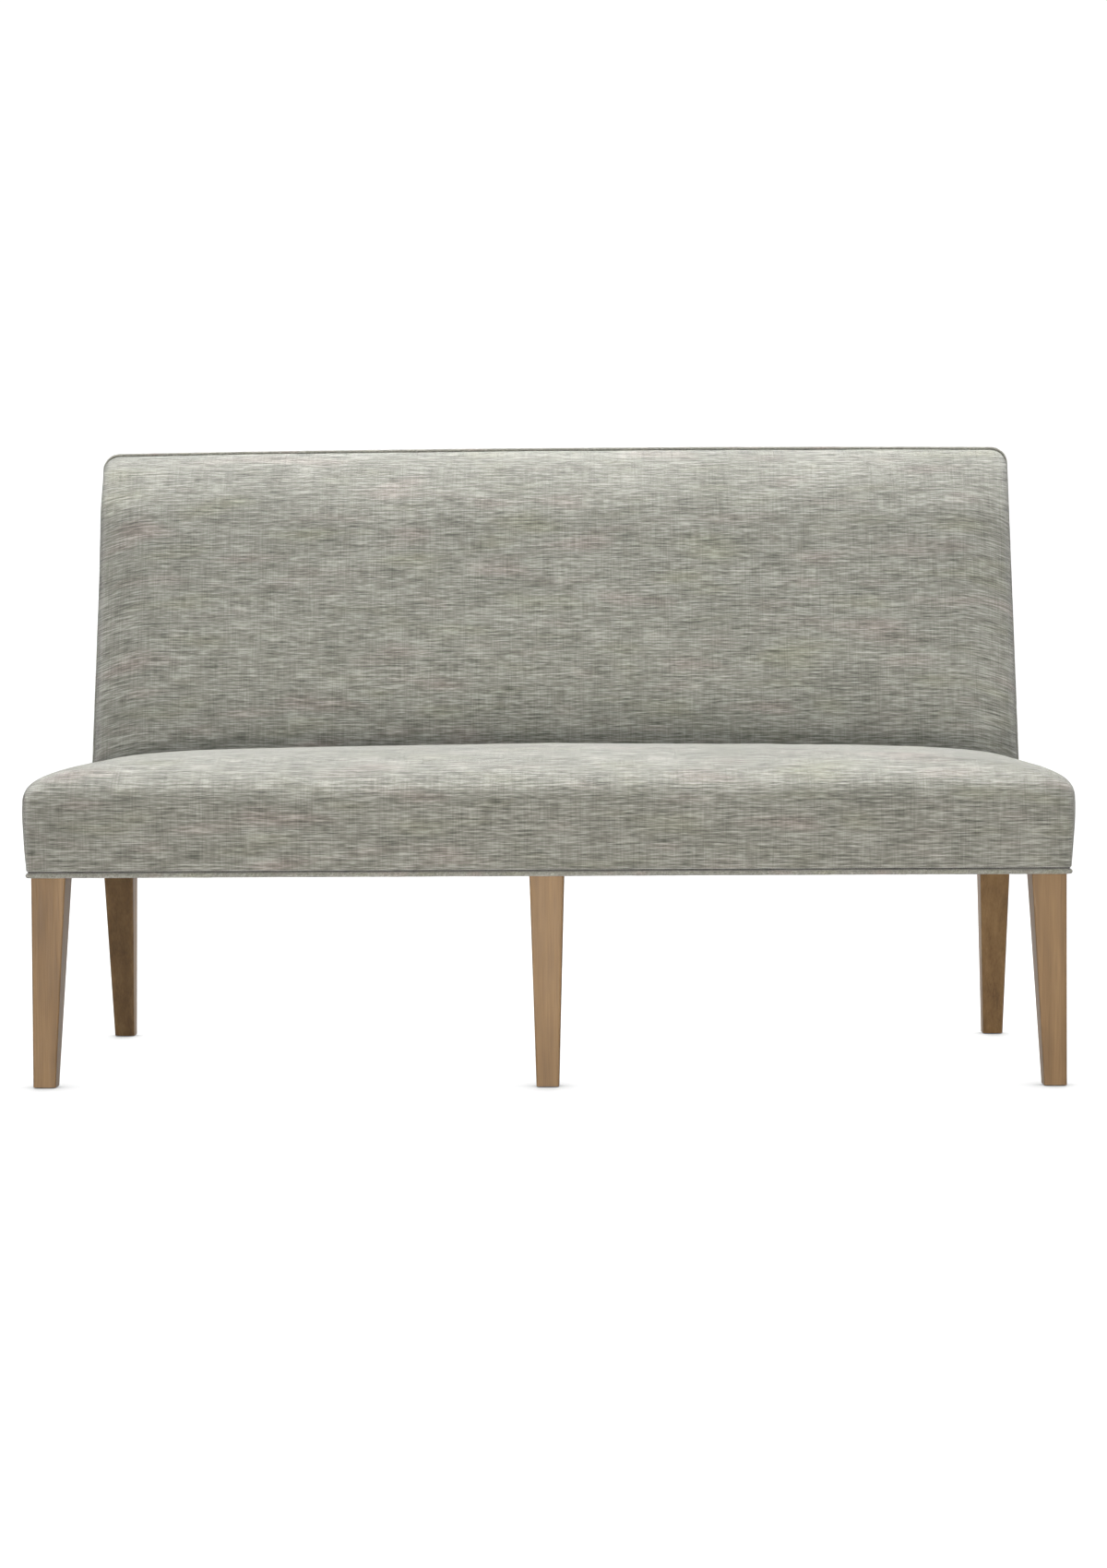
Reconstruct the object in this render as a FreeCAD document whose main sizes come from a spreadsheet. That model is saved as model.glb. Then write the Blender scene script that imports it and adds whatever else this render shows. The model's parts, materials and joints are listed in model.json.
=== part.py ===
import FreeCAD, Part
import math
import os
import Sketcher

# Armless dining banquette: a tenoned hardwood frame on five tapered legs, with a webbed and
# padded seat, a padded back and a sewn cover. Millimetres, +X to the right as seen from the
# front, +Y to the rear, +Z up, origin on the floor in the middle.

# Driving sizes
SIZES = {
    # Seat frame
    "frame_width": 1548,
    "frame_depth": 599,
    "rail_bottom": 320,
    "rail_height": 90,
    "rail_thick": 25,
    "tenon_length": 20,
    "tenon_thick": 12,
    "tenon_margin": 10,
    "short_tenon": 15,
    "joint_gap": 0.15,
    "center_rail_height": 62,
    "center_rail_thick": 25,
    # Corner blocks and fasteners
    "block_arm": 82,
    "block_height": 40,
    "block_drop": 25,
    "bolt_radius": 3,
    "bolt_grip": 34,
    "bolt_head_radius": 7,
    "bolt_head_height": 5,
    "screw_radius": 2.5,
    "screw_grip": 16,
    "screw_head_radius": 5.5,
    "screw_head_height": 3,
    "screw_spacing": 38,
    # Legs
    "leg_head": 52,
    "leg_foot": 34,
    "foot_depth": 30,
    "leg_ease": 3,
    "rear_splay": 79,
    "glide_radius": 11,
    "glide_thick": 1.5,
    "nail_radius": 1.6,
    "nail_length": 18,
    # Rear posts and back frame
    "post_depth": 46,
    "post_top": 985,
    "post_lean": 54,
    "top_bevel": 16,
    "top_rail_height": 60,
    "lower_rail_rise": 60,
    "lower_rail_height": 50,
    "back_rail_thick": 25,
    "stile_width": 40,
    "board_thick": 2,
    # Webbing
    "strap_width": 50,
    "strap_thick": 1.6,
    "strap_gap": 0.3,
    "strap_bearing": 18,
    "long_straps": 5,
    "cross_straps": 13,
    "back_straps": 8,
    # Seat padding and cover
    "soft_gap": 0.3,
    "cover_thick": 1.6,
    "deck_thick": 0.8,
    "deck_inset": 4,
    "hem_proud": 6,
    "bulge": 7.5,
    "bulge_rise": 8,
    "crown": 88.5,
    "front_reach": 220,
    "front_fullness": 2.6,
    "side_fullness": 6,
    "side_droop": 0.085,
    "crown_taper": 0.25,
    "taper_power": 2.2,
    "hem_corner": 6.5,
    "seat_corner": 18,
    "seat_batting_thick": 8,
    "seat_welt_radius": 3,
    "seat_welt_offset": 4.5,
    "seat_welt_corner": 6,
    "seat_welt_drop": 1,
    "dust_thick": 1,
    "dust_inset": 4,
    "dust_notch": 1,
    # Back padding and cover
    "pad_low": 75.5,
    "pad_high": 32,
    "back_rise": 26.5,
    "back_proud": 3,
    "back_crown": 6,
    "back_edge": 18,
    "back_foot_edge": 3,
    "back_corner": 24,
    "roll_depth": 60,
    "roll_height": 130,
    "back_batting_thick": 6,
    "back_welt_radius": 2.6,
    "seam_setback": 12,
    "seam_crest": 56,
}

# Places worked out from the sizes, in the order in which they build on one another
PLACES = {
    "half": "Sizes.frame_width / 2",
    "front": "-(Sizes.frame_depth + Sizes.rear_splay - Sizes.hem_proud - Sizes.bulge) / 2",
    "rear": "front + Sizes.frame_depth",
    "rail_top": "Sizes.rail_bottom + Sizes.rail_height",
    "leg_inner": "half - Sizes.leg_head",
    "leg_back": "front + Sizes.leg_head",
    "rail_inner": "half - Sizes.rail_thick",
    "front_rail_back": "front + Sizes.rail_thick",
    "rear_rail_front": "rear - Sizes.rail_thick",
    "post_front": "rear - Sizes.post_depth",
    "lean_rate": "Sizes.post_lean / (Sizes.post_top - rail_top)",
    "foot_inner": "half - Sizes.leg_foot",
    "foot_middle": "half - Sizes.leg_foot / 2",
    "front_foot_back": "front + Sizes.foot_depth",
    "rear_foot_back": "rear + Sizes.rear_splay",
    "rear_foot_front": "rear_foot_back - Sizes.foot_depth",
    "tenon_in": "(Sizes.rail_thick - Sizes.tenon_thick) / 2",
    "tenon_bottom": "Sizes.rail_bottom + Sizes.tenon_margin",
    "tenon_top": "rail_top - Sizes.tenon_margin",
    "tenon_end": "leg_inner + Sizes.tenon_length",
    "block_top": "rail_top - Sizes.block_drop",
    "block_base": "block_top - Sizes.block_height",
    "block_middle": "block_top - Sizes.block_height / 2",
    "front_block_depth": "(Sizes.block_arm + Sizes.rail_thick - Sizes.leg_head) / sqrt(2)",
    "rear_block_depth": "(Sizes.block_arm + Sizes.rail_thick - Sizes.post_depth) / sqrt(2)",
    "center_rail_top": "Sizes.rail_bottom + Sizes.center_rail_height",
    "center_tenon_top": "center_rail_top - Sizes.tenon_margin",
    "top_rail_base": "Sizes.post_top - Sizes.top_rail_height",
    "lower_rail_base": "rail_top + Sizes.lower_rail_rise",
    "lower_rail_top": "lower_rail_base + Sizes.lower_rail_height",
    "weave_rise": "(Sizes.strap_thick + Sizes.strap_gap) / 2",
    "deck_base": "rail_top + Sizes.strap_thick + weave_rise + Sizes.strap_gap",
    "deck_top": "deck_base + Sizes.deck_thick",
    "pad_base": "deck_top + Sizes.soft_gap",
    "bulge_level": "pad_base + Sizes.bulge_rise",
    "crown_top": "bulge_level + Sizes.crown",
    "back_top": "Sizes.post_top + Sizes.back_rise",
    "back_half": "half + Sizes.back_proud",
    "seat_welt_level": "Sizes.rail_bottom - Sizes.seat_welt_drop",
    "hem": "seat_welt_level + Sizes.seat_welt_radius + Sizes.soft_gap",
}

doc = FreeCAD.newDocument("Banquette")
nodes = []


def make_sheet(name, cells):
    """A sheet with one named cell to a row."""
    sheet = doc.addObject("Spreadsheet::Sheet", name)
    for row, (alias, content) in enumerate(cells.items(), start=1):
        sheet.set(f"A{row}", alias)
        sheet.set(f"B{row}", content)
        sheet.setAlias(f"B{row}", alias)
    doc.recompute()
    return sheet


sizes = make_sheet("Sizes", {alias: str(number) for alias, number in SIZES.items()})
make_sheet("Places", {alias: "=" + formula for alias, formula in PLACES.items()})


def value(formula):
    """The number that a formula on the two sheets comes to."""
    return float(sizes.evalExpression(formula))


def size(alias):
    """One driving size."""
    return value("Sizes." + alias)


def place(alias):
    """One worked-out place."""
    return value("Places." + alias)


def keep(piece, label):
    """Hand a finished piece in under its name."""
    piece.Label = label
    nodes.append(piece)
    return piece


def more(formula):
    """A formula with the joint's clearance added."""
    return f"{formula} + Sizes.joint_gap"


def less(formula):
    """A formula with the joint's clearance taken off."""
    return f"{formula} - Sizes.joint_gap"


def leaning(face, level):
    """Where a face of the leaning posts lies at a level above the rails."""
    return f"{face} + Places.lean_rate * ({level} - Places.rail_top)"


def rectangle(left, right, bottom, top):
    """The four corners of a rectangle."""
    return [(left, bottom), (right, bottom), (right, top), (left, top)]


class Block:
    """A body padded, tapered and cut from outlines that are tied to the sheets."""

    NORMALS = {"XY_Plane": 1, "XZ_Plane": -1, "YZ_Plane": 1}

    def __init__(self, name):
        self.body = doc.addObject("PartDesign::Body", name)

    def sketch(self, plane, level):
        """An empty sketch at a level along its plane's own axis."""
        sketch = self.body.newObject("Sketcher::SketchObject", self.body.Name + "Sketch")
        support = [item for item in self.body.Origin.OriginFeatures if item.Role == plane]
        sketch.AttachmentSupport = (support[0], [""])
        sketch.MapMode = "FlatFace"
        sketch.setExpression("AttachmentOffset.Base.z", f"{self.NORMALS[plane]} * ({level})")
        return sketch

    def tie(self, sketch, kind, formula, *spots):
        """Add a dimension that follows a formula."""
        number = sketch.addConstraint(Sketcher.Constraint(kind, *spots, value(formula)))
        sketch.setExpression(f"Constraints[{number}]", formula)

    def outline(self, plane, level, corners):
        """A closed sketch of straight sides, every corner tied."""
        sketch = self.sketch(plane, level)
        spots = [FreeCAD.Vector(value(along), value(up), 0) for along, up in corners]
        for start, end in zip(spots, spots[1:] + spots[:1]):
            sketch.addGeometry(Part.LineSegment(start, end))
        for number, (along, up) in enumerate(corners):
            following = (number + 1) % len(corners)
            sketch.addConstraint(Sketcher.Constraint("Coincident", number, 2, following, 1))
            self.tie(sketch, "DistanceX", along, -1, 1, number, 1)
            self.tie(sketch, "DistanceY", up, -1, 1, number, 1)
        return sketch

    def eased_section(self, plane, level, left, right, front, back, radius):
        """A closed sketch of a rectangle with rounded corners."""
        sketch = self.sketch(plane, level)
        turn = value(radius)
        x_low, x_high, y_low, y_high = (value(edge) for edge in (left, right, front, back))
        spots = [(x_low + turn, y_low), (x_high - turn, y_low), (x_high, y_low + turn),
                 (x_high, y_high - turn), (x_high - turn, y_high), (x_low + turn, y_high),
                 (x_low, y_high - turn), (x_low, y_low + turn)]
        spots = [FreeCAD.Vector(x, y, 0) for x, y in spots]
        centers = [(x_high - turn, y_low + turn), (x_high - turn, y_high - turn),
                   (x_low + turn, y_high - turn), (x_low + turn, y_low + turn)]
        for start, end in zip(spots[0::2], spots[1::2]):
            sketch.addGeometry(Part.LineSegment(start, end))
        for number, (x, y) in enumerate(centers):
            circle = Part.Circle(FreeCAD.Vector(x, y, 0), FreeCAD.Vector(0, 0, 1), turn)
            begin = math.radians(270 + 90 * number)
            sketch.addGeometry(Part.ArcOfCircle(circle, begin, begin + math.pi / 2))
        for side in range(4):
            corner = 4 + side
            sketch.addConstraint(Sketcher.Constraint("Tangent", side, 2, corner, 1))
            sketch.addConstraint(Sketcher.Constraint("Tangent", corner, 2, (side + 1) % 4, 1))
            sketch.addConstraint(Sketcher.Constraint("Vertical" if side % 2 else "Horizontal", side))
            self.tie(sketch, "Radius", radius, corner)
        for side, edge in enumerate((front, right, back, left)):
            self.tie(sketch, "DistanceX" if side % 2 else "DistanceY", edge, -1, 1, side, 1)
        return sketch

    def add(self, kind, profile):
        """One more feature on a profile."""
        feature = self.body.newObject("PartDesign::" + kind, self.body.Name + kind)
        feature.Profile = profile
        return feature

    def pad(self, plane, start, end, corners, radius=None):
        """Add a prism between two levels, from an outline or a rectangle with rounded corners."""
        level = start if self.NORMALS[plane] > 0 else end
        if radius:
            (left, bottom), (right, top) = corners[0], corners[2]
            sketch = self.eased_section(plane, level, left, right, bottom, top, radius)
        else:
            sketch = self.outline(plane, level, corners)
        feature = self.add("Pad", sketch)
        feature.setExpression("Length", f"{end} - ({start})")
        doc.recompute()
        return self

    def taper(self, lower, upper):
        """Add a loft between two sections."""
        feature = self.add("AdditiveLoft", lower)
        feature.Sections = [upper]
        doc.recompute()
        return self

    def cut(self, plane, start, end, corners):
        """Take the outline's prism between two levels away."""
        before = self.body.Shape.Volume
        level = end if self.NORMALS[plane] > 0 else start
        feature = self.add("Pocket", self.outline(plane, level, corners))
        feature.setExpression("Length", f"{end} - ({start})")
        doc.recompute()
        if self.body.Shape.Volume >= before:
            raise RuntimeError(self.body.Name + ": a pocket cuts nothing")
        return self


def mirrored(source, name):
    """The same piece for the other end of the bench."""
    twin = doc.addObject("Part::Mirroring", name)
    twin.Source = source
    twin.Normal = FreeCAD.Vector(1, 0, 0)
    return twin


def rod(name, radius, length, base, turn):
    """A round bar from a base point, turned from upright."""
    bar = doc.addObject("Part::Cylinder", name)
    bar.setExpression("Radius", radius)
    bar.setExpression("Height", length)
    bar.Placement = FreeCAD.Placement(FreeCAD.Vector(), turn)
    for axis, formula in zip("xyz", base):
        bar.setExpression(f"Placement.Base.{axis}", formula)
    return bar


def joined(name, *pieces):
    """One solid from several that meet."""
    whole = doc.addObject("Part::MultiFuse", name)
    whole.Shapes = list(pieces)
    return whole


def drilled(name, piece, *drills):
    """A piece with its holes bored."""
    for drill in drills:
        bored = doc.addObject("Part::Cut", name + "_bore")
        bored.Base = piece
        bored.Tool = drill
        piece = bored
    return piece


def grouped(name, pieces):
    """Separate solids that share one name."""
    group = doc.addObject("Part::Compound", name)
    group.Links = pieces
    return keep(group, name)


UPRIGHT = FreeCAD.Rotation()
TO_FRONT = FreeCAD.Rotation(FreeCAD.Vector(1, 0, 0), 90)
TO_RIGHT = FreeCAD.Rotation(FreeCAD.Vector(0, 1, 0), 90)


def diagonal(heading):
    """The turn that lays a rod level, half way from +X to the rear or the front."""
    return FreeCAD.Rotation(FreeCAD.Vector(0, 0, 1), 45 * heading).multiply(TO_RIGHT)


def corner_bolt(name, corner_y, depth, heading):
    """A headed bolt through a corner block into the leg, and the drill that clears it."""
    shift = f"{depth} / sqrt(2)"
    cap_shift = f"({depth} + Sizes.bolt_head_height) / sqrt(2)"
    start = (f"Places.leg_inner - {shift}", f"{corner_y} - {heading} * {shift}", "Places.block_middle")
    cap_start = (f"Places.leg_inner - {cap_shift}", f"{corner_y} - {heading} * {cap_shift}",
                 "Places.block_middle")
    length = f"{depth} + Sizes.bolt_grip"
    turn = diagonal(heading)
    shank = rod(name + "Shank", "Sizes.bolt_radius", length, start, turn)
    cap = rod(name + "Head", "Sizes.bolt_head_radius", "Sizes.bolt_head_height", cap_start, turn)
    drill = rod(name + "Drill", more("Sizes.bolt_radius"), more(length), start, turn)
    return joined(name, shank, cap), drill


def glide(name, x, y):
    """A round foot with its nail, and the drill that clears the nail."""
    disc = rod(name + "Disc", "Sizes.glide_radius", "Sizes.glide_thick", (x, y, "0"), UPRIGHT)
    nail_base = (x, y, "Sizes.glide_thick")
    nail = rod(name + "Nail", "Sizes.nail_radius", "Sizes.nail_length", nail_base, UPRIGHT)
    drill = rod(name + "Drill", more("Sizes.nail_radius"), more("Sizes.nail_length"), nail_base, UPRIGHT)
    return joined(name, disc, nail), drill


# Corner blocks with their bolts, front and rear, and the glides
front_bolt, front_bolt_drill = corner_bolt("front_bolt", "Places.leg_back", "Places.front_block_depth", -1)
rear_bolt, rear_bolt_drill = corner_bolt("rear_bolt", "Places.post_front", "Places.rear_block_depth", 1)
front_foot_y = "Places.front + Sizes.foot_depth / 2"
rear_foot_y = "Places.rear_foot_back - Sizes.foot_depth / 2"
front_glide, front_glide_drill = glide("front_glide", "Places.foot_middle", front_foot_y)
center_glide, center_glide_drill = glide("center_glide", "0", front_foot_y)
rear_glide, rear_glide_drill = glide("rear_glide", "Places.foot_middle", rear_foot_y)
grouped("floor_glides", [front_glide, center_glide, rear_glide, mirrored(front_glide, "front_glide_left"),
                         mirrored(rear_glide, "rear_glide_left")])
grouped("corner_bolts", [front_bolt, rear_bolt, mirrored(front_bolt, "front_bolt_left"),
                         mirrored(rear_bolt, "rear_bolt_left")])

block_far = "Places.leg_inner - Sizes.block_arm"
front_block = Block("front_block").pad("XY_Plane", "Places.block_base", "Places.block_top", [
    (block_far, "Places.front_rail_back"),
    ("Places.leg_inner", "Places.front_rail_back"),
    ("Places.leg_inner", "Places.leg_back"),
    ("Places.rail_inner", "Places.leg_back"),
    ("Places.rail_inner", "Places.leg_back + Sizes.block_arm"),
])
rear_block = Block("rear_block").pad("XY_Plane", "Places.block_base", "Places.block_top", [
    (block_far, "Places.rear_rail_front"),
    ("Places.leg_inner", "Places.rear_rail_front"),
    ("Places.leg_inner", "Places.post_front"),
    ("Places.rail_inner", "Places.post_front"),
    ("Places.rail_inner", "Places.post_front - Sizes.block_arm - Sizes.leg_head + Sizes.post_depth"),
])
front_block = drilled("front_block", front_block.body, front_bolt_drill)
rear_block = drilled("rear_block", rear_block.body, rear_bolt_drill)
grouped("corner_blocks", [front_block, rear_block, mirrored(front_block, "front_block_left"),
                          mirrored(rear_block, "rear_block_left")])

# Front corner legs: square heads with mortises for two rails, tapered below
mortise_bottom = less("Places.tenon_bottom")
mortise_top = more("Places.tenon_top")
rail_mortise_front = less("Places.front + Places.tenon_in")
rail_mortise_back = more("Places.front + Places.tenon_in + Sizes.tenon_thick")
leg = Block("front_leg_blank")
leg.pad("XY_Plane", "Sizes.rail_bottom", "Places.rail_top",
        rectangle("Places.leg_inner", "Places.half", "Places.front", "Places.leg_back"))
leg.taper(
    leg.eased_section("XY_Plane", "Sizes.glide_thick", "Places.foot_inner", "Places.half",
                      "Places.front", "Places.front_foot_back", "Sizes.leg_ease"),
    leg.eased_section("XY_Plane", "Sizes.rail_bottom", "Places.leg_inner", "Places.half",
                      "Places.front", "Places.leg_back", "Sizes.leg_ease"))
leg.cut("YZ_Plane", "Places.leg_inner", more("Places.tenon_end"),
        rectangle(rail_mortise_front, rail_mortise_back, mortise_bottom, mortise_top))
leg.cut("XZ_Plane", less("Places.leg_back - Sizes.tenon_length"), "Places.leg_back",
        rectangle(less("Places.rail_inner + Places.tenon_in"),
                  more("Places.rail_inner + Places.tenon_in + Sizes.tenon_thick"),
                  mortise_bottom, mortise_top))
right_leg = keep(drilled("front_right_leg", leg.body, front_bolt_drill, front_glide_drill), "front_right_leg")
keep(mirrored(right_leg, "front_left_leg"), "front_left_leg")

# Front centre leg: its head is cut back so that the front rail passes over its shoulder
half_head = "Sizes.leg_head / 2"
half_foot = "Sizes.leg_foot / 2"
half_tenon = "Sizes.tenon_thick / 2"
leg = Block("center_leg_blank")
leg.pad("XY_Plane", "Sizes.rail_bottom", "Places.tenon_top",
        rectangle("-" + half_head, half_head, "Places.front_rail_back", "Places.leg_back"))
leg.taper(
    leg.eased_section("XY_Plane", "Sizes.glide_thick", "-" + half_foot, half_foot,
                      "Places.front", "Places.front_foot_back", "Sizes.leg_ease"),
    leg.eased_section("XY_Plane", "Sizes.rail_bottom", "-" + half_head, half_head,
                      "Places.front", "Places.leg_back", "Sizes.leg_ease"))
leg.cut("XZ_Plane", less("Places.leg_back - Sizes.short_tenon"), "Places.leg_back",
        rectangle(less("-" + half_tenon), more(half_tenon), mortise_bottom, more("Places.center_tenon_top")))

screws = []
screw_drills = []
for side in (1, -1):
    spot = f"{side} * Sizes.screw_spacing / 2"
    reach = "Sizes.leg_head - Sizes.rail_thick + Sizes.screw_grip"
    neck = (spot, "Places.leg_back", "Places.block_middle")
    cap_end = (spot, "Places.leg_back + Sizes.screw_head_height", "Places.block_middle")
    shank = rod("ScrewShank", "Sizes.screw_radius", reach, neck, TO_FRONT)
    cap = rod("ScrewHead", "Sizes.screw_head_radius", "Sizes.screw_head_height", cap_end, TO_FRONT)
    screws.append(joined("Screw", shank, cap))
    screw_drills.append(rod("ScrewDrill", more("Sizes.screw_radius"), more(reach), neck, TO_FRONT))
grouped("center_leg_screws", screws)
keep(drilled("front_center_leg", leg.body, center_glide_drill, *screw_drills), "front_center_leg")

# Seat rails, each with a tenon at both ends
front_rail = Block("front_rail_blank")
front_rail.pad("YZ_Plane", "-Places.leg_inner", "Places.leg_inner",
               rectangle("Places.front", "Places.front_rail_back", "Sizes.rail_bottom", "Places.rail_top"))
front_rail.pad("YZ_Plane", "-Places.tenon_end", "Places.tenon_end",
               rectangle("Places.front + Places.tenon_in", "Places.front_rail_back - Places.tenon_in",
                         "Places.tenon_bottom", "Places.tenon_top"))
keep(drilled("front_rail", front_rail.body, *screw_drills), "front_rail")

rear_rail = Block("rear_rail")
rear_rail.pad("YZ_Plane", "-Places.leg_inner", "Places.leg_inner",
              rectangle("Places.rear_rail_front", "Places.rear", "Sizes.rail_bottom", "Places.rail_top"))
rear_rail.pad("YZ_Plane", "-Places.tenon_end", "Places.tenon_end",
              rectangle("Places.rear_rail_front + Places.tenon_in", "Places.rear - Places.tenon_in",
                        "Places.tenon_bottom", "Places.tenon_top"))
rear_rail.cut("XZ_Plane", "Places.rear_rail_front", more("Places.rear_rail_front + Sizes.short_tenon"),
              rectangle(less("-" + half_tenon), more(half_tenon),
                        mortise_bottom, more("Places.center_tenon_top")))
keep(rear_rail.body, "rear_rail")

side_rail = Block("right_side_rail")
side_rail.pad("XZ_Plane", "Places.leg_back", "Places.post_front",
              rectangle("Places.rail_inner", "Places.half", "Sizes.rail_bottom", "Places.rail_top"))
side_rail.pad("XZ_Plane", "Places.leg_back - Sizes.tenon_length", "Places.post_front + Sizes.tenon_length",
              rectangle("Places.rail_inner + Places.tenon_in", "Places.half - Places.tenon_in",
                        "Places.tenon_bottom", "Places.tenon_top"))
keep(side_rail.body, "right_side_rail")
keep(mirrored(side_rail.body, "left_side_rail"), "left_side_rail")

half_center = "Sizes.center_rail_thick / 2"
center_rail = Block("center_rail")
center_rail.pad("XZ_Plane", "Places.leg_back", "Places.rear_rail_front",
                rectangle("-" + half_center, half_center, "Sizes.rail_bottom", "Places.center_rail_top"))
center_rail.pad("XZ_Plane", "Places.leg_back - Sizes.short_tenon",
                "Places.rear_rail_front + Sizes.short_tenon",
                rectangle("-" + half_tenon, half_tenon, "Places.tenon_bottom", "Places.center_tenon_top"))
keep(center_rail.body, "center_rail")

# Rear posts: upright at the rails, leaning above them, raked and tapered legs below
post = Block("rear_post_blank")
post_rear_top = "Places.rear + Sizes.post_lean"
post_front_top = "Places.post_front + Sizes.post_lean"
bevel_level = "Sizes.post_top - Sizes.top_bevel"
beveled_top = [
    (post_rear_top, "Sizes.post_top"),
    (post_front_top + " + Sizes.top_bevel", "Sizes.post_top"),
    (leaning("Places.post_front", bevel_level), bevel_level),
]
post.pad("YZ_Plane", "Places.leg_inner", "Places.half", [
    ("Places.post_front", "Places.rail_top"),
    ("Places.post_front", "Sizes.rail_bottom"),
    ("Places.rear", "Sizes.rail_bottom"),
    ("Places.rear", "Places.rail_top"),
] + beveled_top)
post.taper(
    post.eased_section("XY_Plane", "Sizes.glide_thick", "Places.foot_inner", "Places.half",
                       "Places.rear_foot_front", "Places.rear_foot_back", "Sizes.leg_ease"),
    post.eased_section("XY_Plane", "Sizes.rail_bottom", "Places.leg_inner", "Places.half",
                       "Places.post_front", "Places.rear", "Sizes.leg_ease"))
post.cut("XZ_Plane", "Places.post_front", more("Places.post_front + Sizes.tenon_length"),
         rectangle(less("Places.rail_inner + Places.tenon_in"), more("Places.half - Places.tenon_in"),
                   mortise_bottom, mortise_top))
post.cut("YZ_Plane", "Places.leg_inner", more("Places.tenon_end"),
         rectangle(less("Places.rear_rail_front + Places.tenon_in"), more("Places.rear - Places.tenon_in"),
                   mortise_bottom, mortise_top))


def leaning_band(near, far, bottom, top):
    """The corners of a band between two faces that lean with the posts."""
    return [(leaning(near, bottom), bottom), (leaning(far, bottom), bottom),
            (leaning(far, top), top), (leaning(near, top), top)]


# Back rails between the posts, with the stile between them
top_tenon_near = "Places.post_front + Sizes.top_bevel"
top_tenon_far = "Places.post_front + Sizes.top_bevel + Sizes.tenon_thick"
top_tenon_base = "Places.top_rail_base + Sizes.tenon_margin"
top_tenon_top = "Sizes.post_top - Sizes.tenon_margin"
lower_near = "Places.post_front"
lower_far = "Places.post_front + Sizes.back_rail_thick"
lower_tenon_near = "Places.post_front + (Sizes.back_rail_thick - Sizes.tenon_thick) / 2"
lower_tenon_far = "Places.post_front + (Sizes.back_rail_thick + Sizes.tenon_thick) / 2"
lower_tenon_base = "Places.lower_rail_base + Sizes.tenon_margin"
lower_tenon_top = "Places.lower_rail_top - Sizes.tenon_margin"
half_stile_tenon = "(Sizes.stile_width / 2 - Sizes.tenon_margin)"

post.cut("YZ_Plane", "Places.leg_inner", more("Places.tenon_end"),
         leaning_band(less(top_tenon_near), more(top_tenon_far), less(top_tenon_base), more(top_tenon_top)))
post.cut("YZ_Plane", "Places.leg_inner", more("Places.tenon_end"),
         leaning_band(less(lower_tenon_near), more(lower_tenon_far),
                      less(lower_tenon_base), more(lower_tenon_top)))
right_post = keep(drilled("rear_right_post", post.body, rear_bolt_drill, rear_glide_drill), "rear_right_post")
keep(mirrored(right_post, "rear_left_post"), "rear_left_post")

stile_base = "Places.lower_rail_top - Sizes.short_tenon"
stile_top = "Places.top_rail_base + Sizes.short_tenon"
top_rail = Block("back_top_rail")
top_rail.pad("YZ_Plane", "-Places.leg_inner", "Places.leg_inner", [
    (leaning("Places.post_front", "Places.top_rail_base"), "Places.top_rail_base"),
    (leaning("Places.rear", "Places.top_rail_base"), "Places.top_rail_base"),
] + beveled_top)
top_rail.pad("YZ_Plane", "-Places.tenon_end", "Places.tenon_end",
             leaning_band(top_tenon_near, top_tenon_far, top_tenon_base, top_tenon_top))
top_rail.cut("YZ_Plane", less("-" + half_stile_tenon), more(half_stile_tenon),
             leaning_band(less(lower_tenon_near), more(lower_tenon_far),
                          "Places.top_rail_base", more(stile_top)))
keep(top_rail.body, "back_top_rail")

lower_rail = Block("back_lower_rail")
lower_rail.pad("YZ_Plane", "-Places.leg_inner", "Places.leg_inner",
               leaning_band(lower_near, lower_far, "Places.lower_rail_base", "Places.lower_rail_top"))
lower_rail.pad("YZ_Plane", "-Places.tenon_end", "Places.tenon_end",
               leaning_band(lower_tenon_near, lower_tenon_far, lower_tenon_base, lower_tenon_top))
lower_rail.cut("YZ_Plane", less("-" + half_stile_tenon), more(half_stile_tenon),
               leaning_band(less(lower_tenon_near), more(lower_tenon_far),
                            less(stile_base), "Places.lower_rail_top"))
keep(lower_rail.body, "back_lower_rail")

stile = Block("back_center_stile")
stile.pad("YZ_Plane", "-Sizes.stile_width / 2", "Sizes.stile_width / 2",
          leaning_band(lower_near, lower_far, "Places.lower_rail_top", "Places.top_rail_base"))
stile.pad("YZ_Plane", "-" + half_stile_tenon, half_stile_tenon,
          leaning_band(lower_tenon_near, lower_tenon_far, stile_base, stile_top))
keep(stile.body, "back_center_stile")


# Closed rear: a board on the posts, with the outside cover over it
def rear_sheet(near, far, bottom, top):
    """The bent profile of a sheet that follows the rear of the posts."""
    near = f"Places.rear + {near}"
    far = f"Places.rear + {far}"
    return [(near, bottom), (far, bottom), (far, "Places.rail_top"), (leaning(far, top), top),
            (leaning(near, top), top), (near, "Places.rail_top")]


board = Block("outside_back_board")
board.pad("YZ_Plane", "-Places.half", "Places.half",
          rear_sheet("0", "Sizes.board_thick", "Places.hem", "Sizes.post_top"))
keep(board.body, "outside_back_board")

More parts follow.
